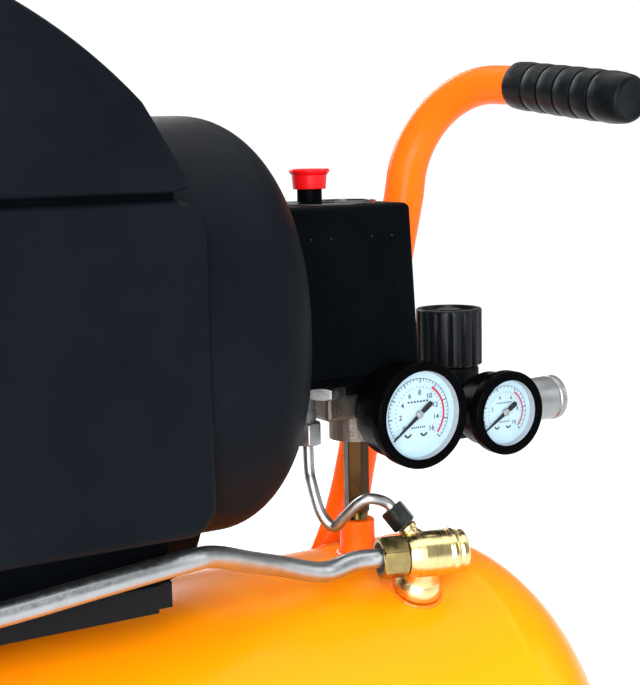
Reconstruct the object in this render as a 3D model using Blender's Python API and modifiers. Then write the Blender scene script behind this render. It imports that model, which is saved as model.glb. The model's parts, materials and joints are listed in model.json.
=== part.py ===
"""Horizontal-tank ("hotdog") air compressor, about 24 litres and 2 hp.

Frame: metres, +X along the tank toward the handle and the air outlet, +Z up, and the front, where
the gauges face, toward -Y. The origin is on the ground, under the middle of the bounding box.
"""
import math

import bmesh
import bpy
from mathutils import Matrix, Vector

# ---------------------------------------------------------------- driving dimensions
HALF_LENGTH = 0.2929            # half of the overall length
GAP = 0.0003                    # clearance between pieces that touch

TANK_RADIUS = 0.120
TANK_WALL = 0.0025
TANK_Z = 0.175                  # height of the tank's axis
HEAD_DEPTH = 0.074              # depth of each dished head
SEAM_RIGHT = 0.2045             # girth weld at the outlet end
SEAM_LEFT = -HALF_LENGTH + HEAD_DEPTH
TANK_TOP = TANK_Z + TANK_RADIUS

MOTOR_Z = 0.4227                # height of the motor and crank axis
CRANK_RADIUS = 0.020
ROD_LENGTH = 0.084
PISTON_X = -0.140               # cylinder's axis along X
BORE_RADIUS = 0.0235
SHAFT_RADIUS = 0.010

PLATE_TOP = 0.3230              # top of the steel mounting platform
PLATE_HALF_WIDTH = 0.072
PLATE_END = 0.021
PLATE_START = -0.268

DRUM_END = 0.0945               # outer face of the motor cover
DRUM_RADIUS = 0.0968
DRUM_SQUARENESS = 2.24          # superellipse exponent of the motor cover
DRUM_START = -0.010
SKIRT_Z = 0.3477                # lower edge of the pump cover
COVER_HALF_WIDTH = 0.100
COVER_RIGHT = 0.0310
COVER_LEFT = -0.262
GROOVE_Z = 0.4865               # styling groove below the hump
HUMP_RADIUS = 0.2030
HUMP_SHOULDER = 0.0040              # where the arc runs straight into the tip
HUMP_TIP = (0.0243, 0.4900)
HUMP_CENTRE = (-0.1415, 0.3813)
SHELL = 0.0025                  # plastic wall

COLUMN_X = 0.1602               # riser that carries the switch and the outlet
GAUGE_Y = -0.058                # front face of both gauges
TANK_GAUGE = (0.1625, 0.3757)   # x, z of the dial centres
OUTLET_GAUGE = (0.2148, 0.3708)
SWITCH_X = 0.138
SWITCH_BOTTOM = 0.3939
SWITCH_TOP = 0.4761
KNOB_X = 0.1358
REGULATOR_X = 0.2197
OUTLET_Z = 0.3627
NEEDLE_REST = 145               # needle at zero, degrees clockwise from +X seen from the front

HANDLE_Y = 0.050
HANDLE_TUBE_RADIUS = 0.0104
GRIP_RADIUS = 0.0123

WHEEL_RADIUS = 0.060
WHEEL_X = -0.197
WHEEL_INNER_Y = 0.110
WHEEL_OUTER_Y = 0.138
FOOT_X = 0.150
FOOT_Y = 0.078
FOOT_HEIGHT = 0.022

COLLECTION_NAME = "hotdog_air_compressor"
MOUTH_RADIUS = 0.0062           # plug opening of the quick coupler


# ---------------------------------------------------------------- scene helpers
def clear_scene():
    for old in list(bpy.data.objects):
        bpy.data.objects.remove(old, do_unlink=True)


def new_collection(name):
    collection = bpy.data.collections.new(name)
    bpy.context.scene.collection.children.link(collection)
    return collection


clear_scene()
PARTS = new_collection(COLLECTION_NAME)
CUTTERS = new_collection("cutters")


def finish(name, colour, roughness, metallic):
    """A plain Principled material."""
    made = bpy.data.materials.new(name)
    made.use_nodes = True
    shader = made.node_tree.nodes["Principled BSDF"]
    shader.inputs["Base Color"].default_value = (*colour, 1.0)
    shader.inputs["Roughness"].default_value = roughness
    shader.inputs["Metallic"].default_value = metallic
    return made


TANK_PAINT = ("tank_yellow", (0.95, 0.42, 0.01), 0.28, 0.0)
HANDLE_PAINT = ("handle_orange", (0.95, 0.26, 0.01), 0.25, 0.0)
BLACK_PLASTIC = ("black_plastic", (0.012, 0.014, 0.017), 0.50, 0.0)
BLACK_STEEL = ("black_steel", (0.015, 0.015, 0.016), 0.45, 0.3)
RUBBER = ("rubber", (0.016, 0.016, 0.016), 0.75, 0.0)
BRASS = ("brass", (0.75, 0.52, 0.14), 0.25, 1.0)
STEEL = ("steel", (0.55, 0.55, 0.55), 0.30, 1.0)
ALUMINIUM = ("aluminium", (0.66, 0.67, 0.68), 0.35, 1.0)
CAST_ALLOY = ("cast_alloy", (0.42, 0.42, 0.43), 0.50, 0.9)
CHROME = ("chrome", (0.80, 0.80, 0.80), 0.12, 1.0)
RED_PLASTIC = ("red_plastic", (0.80, 0.015, 0.015), 0.35, 0.0)
DIAL_FACE = ("dial_face", (0.80, 0.88, 0.92), 0.40, 0.0)
LENS = ("clear_lens", (0.90, 0.93, 0.95), 0.05, 0.0)
IRON = ("grey_iron", (0.20, 0.20, 0.21), 0.60, 0.9)
PAPER = ("filter_black", (0.02, 0.02, 0.02), 0.60, 0.0)


def piece(name, data, look, location=(0, 0, 0), rotation=None):
    """Add a named object with its own material to the part."""
    made = bpy.data.objects.new(name, data)
    made.location = location
    if rotation is not None:
        made.rotation_mode = "QUATERNION"
        made.rotation_quaternion = rotation
    if look is not None:
        material_name, colour, roughness, metallic = look
        data.materials.append(finish(name + "_" + material_name, colour, roughness, metallic))
        PARTS.objects.link(made)
    else:
        made.hide_render = True
        made.display_type = "WIRE"
        CUTTERS.objects.link(made)
    return made


def toward(direction):
    """Rotation that turns local +Z to a direction."""
    return Vector(direction).to_track_quat("Z", "Y")


def smooth(mesh, angle=35):
    mesh.shade_smooth()
    mesh.set_sharp_from_angle(angle=math.radians(angle))


def turned(name, profile, look, location=(0, 0, 0), direction=(0, 0, 1), steps=32, ring=False):
    """Turned shape. The (radius, height) profile runs down the outer side, top to bottom."""
    mesh = bpy.data.meshes.new(name)
    points = [(radius, 0.0, height) for radius, height in profile]
    edges = [(i, i + 1) for i in range(len(points) - 1)]
    if ring:
        edges.append((len(points) - 1, 0))
    mesh.from_pydata(points, edges, [])
    made = piece(name, mesh, look, location, toward(direction))
    screw = made.modifiers.new("turn", "SCREW")
    screw.axis = "Z"
    screw.steps = steps
    screw.render_steps = steps
    screw.use_merge_vertices = True
    screw.merge_threshold = 0.00001
    screw.use_smooth_shade = True
    return made


def rod(name, radius, low, high, look, location=(0, 0, 0), direction=(0, 0, 1), steps=24, edge=0.0):
    """Solid round bar between two heights on its own axis, with an optional edge chamfer."""
    profile = [(0, high), (radius - edge, high)]
    if edge:
        profile += [(radius, high - edge), (radius, low + edge)]
    profile += [(radius - edge, low), (0, low)]
    return turned(name, profile, look, location, direction, steps)


def tube_ring(name, outer, inner, low, high, look, location=(0, 0, 0), direction=(0, 0, 1), steps=32):
    """Round ring with a square section."""
    profile = [(outer, high), (outer, low), (inner, low), (inner, high)]
    return turned(name, profile, look, location, direction, steps, ring=True)


def hexagon(name, across_flats, low, high, look, location, direction, turn=0.0):
    """Hexagonal bar or nut body."""
    shape = bmesh.new()
    corner = across_flats / math.sqrt(3.0)
    place = Matrix.Translation((0, 0, (low + high) / 2)) @ Matrix.Rotation(turn, 4, "Z")
    bmesh.ops.create_cone(shape, cap_ends=True, segments=6, radius1=corner, radius2=corner,
                          depth=high - low, matrix=place)
    mesh = bpy.data.meshes.new(name)
    shape.to_mesh(mesh)
    shape.free()
    return piece(name, mesh, look, location, toward(direction))


def block(name, low, high, look, bevel=0.0, segments=2):
    """Box between two corners, with optional rounded edges."""
    size = Vector(high) - Vector(low)
    middle = (Vector(high) + Vector(low)) / 2
    shape = bmesh.new()
    bmesh.ops.create_cube(shape, size=1.0, matrix=Matrix.Diagonal((*size, 1.0)))
    mesh = bpy.data.meshes.new(name)
    shape.to_mesh(mesh)
    shape.free()
    made = piece(name, mesh, look, middle)
    if bevel:
        round_edges(made, bevel, segments)
    return made


def round_edges(made, width, segments=2, angle=30):
    bevel = made.modifiers.new("round", "BEVEL")
    bevel.width = width
    bevel.segments = segments
    bevel.limit_method = "ANGLE"
    bevel.angle_limit = math.radians(angle)
    bevel.use_clamp_overlap = True
    return bevel


def plate(name, outlines, thickness, look, location, basis):
    """Flat outline, with any further outlines as holes, extruded to both sides of its plane."""
    curve = bpy.data.curves.new(name, "CURVE")
    curve.dimensions = "2D"
    curve.fill_mode = "BOTH"
    curve.extrude = thickness / 2
    for outline in outlines:
        spline = curve.splines.new("POLY")
        spline.points.add(len(outline) - 1)
        for point, (u, v) in zip(spline.points, outline):
            point.co = (u, v, 0, 1)
        spline.use_cyclic_u = True
    return piece(name, curve, look, location, basis.to_quaternion())


FACING_X = Matrix(((0, 0, 1), (1, 0, 0), (0, 1, 0)))        # outline (u, v) lies in (Y, Z)
FACING_Y = Matrix(((1, 0, 0), (0, 0, -1), (0, 1, 0)))       # outline (u, v) lies in (X, Z)
FACING_Z = Matrix.Identity(3)                               # outline (u, v) lies in (X, Y)


def bent(name, points, radius, look, sides=2):
    """Round bar along a list of points, with filled ends."""
    curve = bpy.data.curves.new(name, "CURVE")
    curve.dimensions = "3D"
    curve.bevel_depth = radius
    curve.bevel_resolution = sides
    curve.use_fill_caps = True
    spline = curve.splines.new("POLY")
    spline.points.add(len(points) - 1)
    for point, place in zip(spline.points, points):
        point.co = (*place, 1)
    return piece(name, curve, look)


def as_mesh(made):
    """Turn a curve object into a mesh object with welded caps."""
    graph = bpy.context.evaluated_depsgraph_get()
    mesh = bpy.data.meshes.new_from_object(made.evaluated_get(graph))
    shape = bmesh.new()
    shape.from_mesh(mesh)
    bmesh.ops.remove_doubles(shape, verts=shape.verts, dist=0.00001)
    bmesh.ops.recalc_face_normals(shape, faces=shape.faces)
    shape.to_mesh(mesh)
    shape.free()
    name = made.name
    world = made.matrix_world.copy()
    homes = list(made.users_collection)
    hidden = made.hide_render
    bpy.data.objects.remove(made, do_unlink=True)
    solid = bpy.data.objects.new(name, mesh)
    solid.matrix_world = world
    for home in homes:
        home.objects.link(solid)
    if hidden:
        solid.hide_render = True
        solid.display_type = "WIRE"
    return solid


def combine(target, tool, operation):
    boolean = target.modifiers.new(operation.lower() + "_" + tool.name, "BOOLEAN")
    boolean.operation = operation
    boolean.solver = "EXACT"
    boolean.object = tool
    return boolean


def cut(target, tool):
    return combine(target, tool, "DIFFERENCE")


def join(target, tool):
    return combine(target, tool, "UNION")


def arc(centre, radius, start, end, count):
    """Points on an arc, angles in degrees, counter-clockwise when end is larger."""
    steps = [math.radians(start + (end - start) * i / count) for i in range(count + 1)]
    return [(centre[0] + radius * math.cos(a), centre[1] + radius * math.sin(a)) for a in steps]


def rounded_path(corners, radius, count=5):
    """Points along straight runs joined by arcs of one radius."""
    points = [Vector(corners[0])]
    for before, corner, after in zip(corners, corners[1:], corners[2:]):
        corner = Vector(corner)
        into = (Vector(before) - corner).normalized()
        out = (Vector(after) - corner).normalized()
        half = into.angle(out) / 2
        reach = radius / math.tan(half)
        centre = corner + (into + out).normalized() * radius / math.sin(half)
        first = corner + into * reach - centre
        last = corner + out * reach - centre
        sweep = first.angle(last)
        for i in range(count + 1):
            t = i / count
            blend = (first * math.sin((1 - t) * sweep) + last * math.sin(t * sweep)) / math.sin(sweep)
            points.append(centre + blend)
    points.append(Vector(corners[-1]))
    return points


# ---------------------------------------------------------------- air tank
def head_profile(radius, depth, count):
    """Quarter ellipse from the pole out to the rim."""
    angles = [math.pi / 2 * (1 - i / count) for i in range(count + 1)]
    return [(radius * math.cos(a), depth * math.sin(a)) for a in angles]


def tank():
    shell = tube_ring("tank_shell", TANK_RADIUS, TANK_RADIUS - TANK_WALL, SEAM_LEFT + GAP,
                      SEAM_RIGHT - GAP, TANK_PAINT, (0, 0, TANK_Z), (1, 0, 0), 56)
    bung = rod("bung_form", 0.0090, -0.0020, 0.0185, None, (COLUMN_X, 0, TANK_TOP), edge=0.001)
    join(shell, bung)
    outer = head_profile(TANK_RADIUS, HEAD_DEPTH, 6)
    inner = head_profile(TANK_RADIUS - TANK_WALL, HEAD_DEPTH - TANK_WALL, 5)
    for name, seam, side in (("tank_head_right", SEAM_RIGHT, 1), ("tank_head_left", SEAM_LEFT, -1)):
        turned(name, outer + inner[::-1], TANK_PAINT, (seam, 0, TANK_Z), (side, 0, 0), 36)


def saddles():
    """Cross plates welded between the tank and the platform."""
    underside = PLATE_TOP - 0.003 - GAP
    reach = math.degrees(math.asin(0.060 / (TANK_RADIUS + GAP)))
    lower = arc((0, TANK_Z), TANK_RADIUS + GAP, 90 - reach, 90 + reach, 14)
    outline = lower + [(-0.060, underside), (0.060, underside)]
    for name, x in (("saddle_left", -0.205), ("saddle_right", -0.075)):
        plate(name, [outline], 0.004, TANK_PAINT, (x, 0, 0), FACING_X)


def platform():
    """Steel channel under the pump and motor, with its flanges turned down."""
    wide = PLATE_HALF_WIDTH
    low = PLATE_TOP - 0.0128
    under = PLATE_TOP - 0.003
    outline = [(-wide, low), (-wide + 0.003, low), (-wide + 0.003, under), (wide - 0.003, under),
               (wide - 0.003, low), (wide, low), (wide, PLATE_TOP), (-wide, PLATE_TOP)]
    channel = as_mesh(plate("mount_plate", [outline], PLATE_END - PLATE_START, BLACK_STEEL,
                            ((PLATE_END + PLATE_START) / 2, 0, 0), FACING_X))
    cut(channel, block("mount_step", (0.0148, -0.080, 0.3080), (0.0300, 0.080, 0.3119), None))


# ---------------------------------------------------------------- plastic shroud
def superellipse(radius, count):
    """Points of the motor cover's cross-section about its own centre."""
    points = []
    for i in range(count):
        angle = 2 * math.pi * i / count
        c, s = math.cos(angle), math.sin(angle)
        reach = radius * (abs(c) ** DRUM_SQUARENESS + abs(s) ** DRUM_SQUARENESS) ** (-1 / DRUM_SQUARENESS)
        points.append((reach * c, reach * s))
    return points


def drum_surface(name, look, grow, start, end, closed):
    """Round-nosed drum along +X: a stack of superellipse rings joined by faces."""
    nose_radius, nose_length = 0.0428, 0.0316
    count = 40
    stations = [(start, DRUM_RADIUS + grow)]
    for i in range(7):
        angle = math.pi / 2 * i / 6
        x = end + grow - nose_length * (1 - math.sin(angle))
        stations.append((x, DRUM_RADIUS + grow - nose_radius * (1 - math.cos(angle))))
    shape = bmesh.new()
    rings = []
    for x, radius in stations:
        rings.append([shape.verts.new((x, y, MOTOR_Z + z)) for y, z in superellipse(radius, count)])
    for first, second in zip(rings, rings[1:]):
        for i in range(count):
            j = (i + 1) % count
            shape.faces.new((first[i], first[j], second[j], second[i]))
    shape.faces.new(rings[-1])
    if closed:
        shape.faces.new(rings[0][::-1])
    bmesh.ops.recalc_face_normals(shape, faces=shape.faces)
    mesh = bpy.data.meshes.new(name)
    shape.to_mesh(mesh)
    shape.free()
    return piece(name, mesh, look)


def thicken(made, wall):
    shell = made.modifiers.new("wall", "SOLIDIFY")
    shell.thickness = wall
    shell.offset = -1
    shell.use_even_offset = True


def slots(prefix, places, size):
    """One cutter made of several boxes that don't touch."""
    shape = bmesh.new()
    for place in places:
        turn = Matrix.Translation(place) @ Matrix.Diagonal((*size, 1.0))
        bmesh.ops.create_cube(shape, size=1.0, matrix=turn)
    mesh = bpy.data.meshes.new(prefix)
    shape.to_mesh(mesh)
    shape.free()
    return piece(prefix, mesh, None)


def motor_cover():
    cover = drum_surface("shroud_motor_cover", BLACK_PLASTIC, 0.0, DRUM_START, DRUM_END, False)
    thicken(cover, SHELL)
    smooth(cover.data)
    cut(cover, block("cover_undercut", (DRUM_START - 0.02, -0.12, 0.30), (0.0375, 0.12, SKIRT_Z), None))
    vents = [(DRUM_END, 0, MOTOR_Z + 0.011 * step) for step in range(-3, 4)]
    cut(cover, slots("motor_vents", vents, (0.02, 0.066, 0.005)))


def cover_outline():
    """Front outline of the pump cover: straight sides under one long hump."""
    hx, hz = HUMP_CENTRE
    right_top = hz + math.sqrt(HUMP_RADIUS ** 2 - (HUMP_SHOULDER - hx) ** 2)
    first = math.degrees(math.atan2(right_top - hz, HUMP_SHOULDER - hx))
    corner = 0.055
    left_x = COVER_LEFT + corner
    reach = HUMP_RADIUS - corner
    left_z = hz + math.sqrt(reach ** 2 - (left_x - hx) ** 2)
    last = math.degrees(math.atan2(left_z - hz, left_x - hx))
    points = [(COVER_LEFT, SKIRT_Z), (COVER_RIGHT - 0.010, SKIRT_Z)]
    points += arc((COVER_RIGHT - 0.012, SKIRT_Z + 0.012), 0.012, -60, 0, 2)
    points += arc((COVER_RIGHT - 0.010, GROOVE_Z - 0.0125), 0.010, 0, 60, 3)
    points.append(HUMP_TIP)
    points += arc(HUMP_CENTRE, HUMP_RADIUS, first, last, 16)
    points += arc((left_x, left_z), corner, last, 180, 5)[1:]
    return points


def cover_form(name, look):
    """Pump cover as an open-bottomed box with the front outline."""
    outline = cover_outline()
    shape = bmesh.new()
    front = [shape.verts.new((x, -COVER_HALF_WIDTH, z)) for x, z in outline]
    back = [shape.verts.new((x, COVER_HALF_WIDTH, z)) for x, z in outline]
    shape.faces.new(front)
    shape.faces.new(back[::-1])
    for i in range(1, len(outline)):
        j = (i + 1) % len(outline)
        shape.faces.new((front[i], back[i], back[j], front[j]))
    bmesh.ops.recalc_face_normals(shape, faces=shape.faces)
    mesh = bpy.data.meshes.new(name)
    shape.to_mesh(mesh)
    shape.free()
    return piece(name, mesh, look)


def pump_cover():
    cover = cover_form("shroud_pump_cover", BLACK_PLASTIC)
    round_edges(cover, 0.007, 2, 50)
    thicken(cover, SHELL)
    cut(cover, drum_surface("drum_hole", None, 0.0005, -0.020, DRUM_END, True))
    groove = [(x, z) for x, z in ((COVER_LEFT - 0.01, GROOVE_Z - 0.002), (0.020, GROOVE_Z - 0.002),
                                  (0.020, GROOVE_Z + 0.002), (COVER_LEFT - 0.01, GROOVE_Z + 0.002))]
    low = (groove[0][0], -COVER_HALF_WIDTH - 0.001, groove[0][1])
    high = (groove[1][0], -COVER_HALF_WIDTH + 0.0012, groove[2][1])
    cut(cover, block("groove_front", low, high, None))
    vents = [(COVER_LEFT, 0, MOTOR_Z + 0.012 * step) for step in range(-4, 5)]
    cut(cover, slots("pump_vents", vents, (0.02, 0.110, 0.006)))


def shroud_base():
    """Low black frame between the platform and the shroud, with its outlet-end corners clipped."""
    def outline(inset):
        wide, start, end = 0.076 - inset, -0.250 + inset, 0.037 - inset
        clip = 0.024
        return [(start, -wide), (end - clip, -wide), (end, -wide + 0.016), (end, wide - 0.016),
                (end - clip, wide), (start, wide)]
    height = 0.022
    plate("shroud_base", [outline(0.0), outline(0.004)[::-1]], height, BLACK_PLASTIC,
          (0, 0, PLATE_TOP + GAP + height / 2), FACING_Z)


# ---------------------------------------------------------------- pump
def crankcase():
    left, right = -0.186, -0.098
    wall = 0.005
    body = turned("crankcase", [(0.052, right), (0.052, left), (0.052 - wall, left),
                                (0.052 - wall, right - wall), (0.0105, right - wall), (0.0105, right)],
                  CAST_ALLOY, (0, 0, MOTOR_Z), (1, 0, 0), 32, ring=True)
    join(body, block("crankcase_deck", (PISTON_X - 0.034, -0.034, MOTOR_Z + 0.038),
                     (PISTON_X + 0.034, 0.034, MOTOR_Z + 0.0555), None))
    join(body, block("crankcase_foot", (left + 0.010, -0.045, PLATE_TOP + GAP),
                     (right - 0.004, 0.045, MOTOR_Z - 0.0485), None))
    cut(body, rod("crankcase_throat", 0.0265, 0.020, 0.070, None, (PISTON_X, 0, MOTOR_Z)))
    rod("crankcase_cover", 0.052, -0.006, 0, CAST_ALLOY, (left - GAP, 0, MOTOR_Z), (1, 0, 0), 32, 0.0015)
    turned("oil_sight_glass", [(0, 0.006), (0.009, 0.006), (0.013, 0.004), (0.013, 0), (0, 0)], LENS,
           (left - 0.006 - 2 * GAP, 0, MOTOR_Z - 0.026), (-1, 0, 0), 24)


def cylinder():
    base = MOTOR_Z + 0.0555 + GAP
    top = 0.545
    core, fin, flange = 0.030, 0.043, 0.034
    outline = [(flange, base + 0.006), (flange, base)]
    levels = 4
    pitch = (top - base - 0.012) / levels
    upper = []
    for i in range(levels):
        fin_top = top - i * pitch
        upper += [(fin, fin_top), (fin, fin_top - 0.0035), (core, fin_top - 0.0035)]
        upper += [(core, fin_top - pitch)]
    profile = upper[:-1] + [(core, base + 0.006)] + outline
    profile += [(BORE_RADIUS, base), (BORE_RADIUS, top)]
    turned("cylinder", profile, IRON, (PISTON_X, 0, 0), (0, 0, 1), 24, ring=True)


def cylinder_head():
    base = 0.545 + GAP
    low = (PISTON_X - 0.036, -0.036, base)
    high = (PISTON_X + 0.036, 0.036, 0.5715)
    head = block("cylinder_head", low, high, CAST_ALLOY)
    lanes = [(PISTON_X, -0.024 + 0.012 * i, 0.5690) for i in range(5)]
    cut(head, slots("head_fins", lanes, (0.090, 0.006, 0.016)))
    profile = [(0, 0.032), (0.0110, 0.032), (0.0125, 0.030), (0.0125, 0.011), (0.007, 0.010), (0.007, 0), (0, 0)]
    turned("air_filter", profile, PAPER, (low[0] - GAP, 0, 0.5535), (-1, 0, 0), 20)


def piston():
    """Piston at the bottom of its stroke, with the wrist pin moulded across it."""
    pin = MOTOR_Z - CRANK_RADIUS + ROD_LENGTH
    crown = pin + 0.015
    radius = BORE_RADIUS - GAP
    made = turned("piston", [(0, crown), (radius, crown), (radius, crown - 0.034),
                             (radius - 0.0035, crown - 0.034), (radius - 0.0035, crown - 0.004),
                             (0, crown - 0.004)], ALUMINIUM, (PISTON_X, 0, 0), (0, 0, 1), 28)
    join(made, rod("wrist_pin_form", 0.0060, -radius + 0.0015, radius - 0.0015, None,
                   (PISTON_X, 0, pin), (1, 0, 0)))


def connecting_rod():
    """Rod with the crank pin it carries."""
    low = MOTOR_Z - CRANK_RADIUS
    big, small, shank = 0.0150, 0.0100, 0.0065
    foot = math.degrees(math.asin(shank / big))
    neck = math.degrees(math.asin(shank / small))
    outline = arc((0, 0), big, 90 + foot, 450 - foot, 14)
    outline += arc((0, ROD_LENGTH), small, neck - 90, 270 - neck, 8)
    eye = arc((0, ROD_LENGTH), 0.0060 + GAP, 0, 330, 11)
    made = as_mesh(plate("connecting_rod", [outline, eye[::-1]], 0.012, ALUMINIUM,
                         (PISTON_X, 0, low), FACING_X))
    join(made, rod("crank_pin_form", SHAFT_RADIUS, 0.003, 0.0117, None, (PISTON_X, 0, low), (1, 0, 0)))


def crankshaft():
    """Web disc, journal and motor shaft in one turned piece."""
    profile = [(0, 0.066), (0.006, 0.066), (0.006, 0.044), (SHAFT_RADIUS, 0.044),
               (SHAFT_RADIUS, -0.118), (0.038, -0.118), (0.038, -0.128), (0, -0.128)]
    turned("crankshaft", profile, STEEL, (0, 0, MOTOR_Z), (1, 0, 0), 32)


# ---------------------------------------------------------------- motor
MOTOR_RADIUS = 0.066


def motor():
    tube_ring("motor_stator", MOTOR_RADIUS, 0.0362, -0.072, -0.002, IRON, (0, 0, MOTOR_Z), (1, 0, 0), 32)
    tube_ring("rotor_core", 0.0356, SHAFT_RADIUS + GAP, -0.074, 0.000, ALUMINIUM, (0, 0, MOTOR_Z),
              (1, 0, 0), 32)
    turned("motor_end_bell", [(0.060, 0.036), (MOTOR_RADIUS, 0.028), (MOTOR_RADIUS, -0.002 + GAP),
                              (0.062, -0.002 + GAP), (0.062, 0.026), (0.056, 0.031), (SHAFT_RADIUS + GAP, 0.031),
                              (SHAFT_RADIUS + GAP, 0.036)],
           CAST_ALLOY, (0, 0, MOTOR_Z), (1, 0, 0), 28, ring=True)
    spread = math.degrees(math.asin(0.040 / (MOTOR_RADIUS + GAP)))
    cradle = arc((0, MOTOR_Z), MOTOR_RADIUS + GAP, -90 + spread, -90 - spread, 10)
    outline = cradle + [(-0.045, PLATE_TOP + GAP), (0.045, PLATE_TOP + GAP)]
    plate("motor_foot", [outline], 0.008, BLACK_STEEL, (-0.012, 0, 0), FACING_X)


def cooling_fan():
    blades, hub, tip, half = 6, 0.014, 0.060, 0.0022
    outline = []
    for i in range(blades):
        middle = 360 * i / blades
        turn = Matrix.Rotation(math.radians(middle), 2)
        root = math.sqrt(hub ** 2 - half ** 2)
        for u, v in ((root, -half), (tip, -half), (tip, half), (root, half)):
            outline.append(tuple(turn @ Vector((u, v))))
        outline.append((hub * math.cos(math.radians(middle + 30)), hub * math.sin(math.radians(middle + 30))))
    eye = arc((0, 0), 0.0060 + GAP, 0, 330, 11)
    plate("cooling_fan", [outline, eye[::-1]], 0.014, BLACK_PLASTIC, (0.054, 0, MOTOR_Z), FACING_X)


# ---------------------------------------------------------------- riser, manifold and switch
def riser():
    low = TANK_TOP + 0.0185 + GAP
    nipple = hexagon("column_nipple", 0.0114, low + 0.0035, 0.3560, BRASS, (COLUMN_X, 0, 0), (0, 0, 1),
                     math.radians(20))
    join(nipple, rod("nipple_thread", 0.0054, low, low + 0.006, None, (COLUMN_X, 0, 0), steps=20))


def manifold():
    body = block("manifold", (0.1365, -0.0120, 0.3680), (0.1950, 0.0120, 0.3810), CAST_ALLOY, 0.002)
    join(body, rod("manifold_boss", 0.0136, 0.3560 + GAP, 0.3692, None, (COLUMN_X, 0, 0)))


def pressure_switch():
    base = block("switch_base", (0.1040, -0.0270, 0.3886), (0.1750, 0.0270, SWITCH_BOTTOM - GAP), STEEL, 0.001)
    join(base, rod("switch_base_boss", 0.0140, 0.3810 + GAP, 0.3900, None, (0.1540, 0, 0)))
    shape = bmesh.new()
    low = [shape.verts.new((SWITCH_X + sx * 0.0412, sy * 0.0325, SWITCH_BOTTOM))
           for sx, sy in ((-1, -1), (1, -1), (1, 1), (-1, 1))]
    high = [shape.verts.new((SWITCH_X + sx * 0.0380, sy * 0.0300, SWITCH_TOP))
            for sx, sy in ((-1, -1), (1, -1), (1, 1), (-1, 1))]
    shape.faces.new(high)
    for i in range(4):
        j = (i + 1) % 4
        shape.faces.new((low[i], low[j], high[j], high[i]))
    bmesh.ops.recalc_face_normals(shape, faces=shape.faces)
    mesh = bpy.data.meshes.new("switch_cover")
    shape.to_mesh(mesh)
    shape.free()
    cover = piece("switch_cover", mesh, BLACK_PLASTIC)
    round_edges(cover, 0.0038, 2)
    thicken(cover, 0.0022)
    cut(cover, rod("spindle_hole", 0.0036, 0.460, 0.490, None, (KNOB_X, 0, 0), steps=16))
    cut(cover, rod("gland_hole", 0.0085, 0.020, 0.045, None, (SWITCH_X, 0, 0.4130), (0, 1, 0), steps=20))
    top = SWITCH_TOP + GAP
    turned("switch_collar", [(0.0061, 0.0081), (0.0061, 0), (0.0034, 0), (0.0034, 0.0081)], BLACK_PLASTIC,
           (KNOB_X, 0, top), (0, 0, 1), 24, ring=True)
    turned("switch_knob", [(0, 0.0168), (0.0092, 0.0168), (0.0101, 0.0158), (0.0098, 0.0146),
                           (0.0086, 0.0138), (0.0081, 0.0070), (0.0065, 0.0070), (0.0065, 0.0146),
                           (0.0030, 0.0146), (0.0030, -0.0280), (0, -0.0280)],
           RED_PLASTIC, (KNOB_X, 0, top), (0, 0, 1), 24)
    turned("cable_gland", [(0.0050, 0.0230), (0.0070, 0.0215), (0.0095, 0.0100), (0.0095, 0.0020),
                           (0.0080, 0.0020), (0.0080, -0.0060), (0.0045, -0.0060), (0.0045, 0.0230)],
           BLACK_PLASTIC, (SWITCH_X, 0.0325, 0.4130), (0, 1, 0), 24, ring=True)


# ---------------------------------------------------------------- check valve and air tubes
CHECK_TILT = math.asin(0.381)                                # round the tank from its top
CHECK_OUT = Vector((0, -math.sin(CHECK_TILT), math.cos(CHECK_TILT)))
CHECK_CENTRE = Vector((0.162, 0, TANK_Z)) + CHECK_OUT * (TANK_RADIUS + 0.0226)
CHECK_AXIS = Vector((math.cos(math.radians(15)), -math.sin(math.radians(15)), 0))
BRANCH_AXIS = Vector((-0.434, 0.474, 0.766)).normalized()
BRANCH_START = CHECK_CENTRE + CHECK_AXIS * 0.0038
NECK_START = CHECK_CENTRE + CHECK_AXIS * 0.0028


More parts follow.
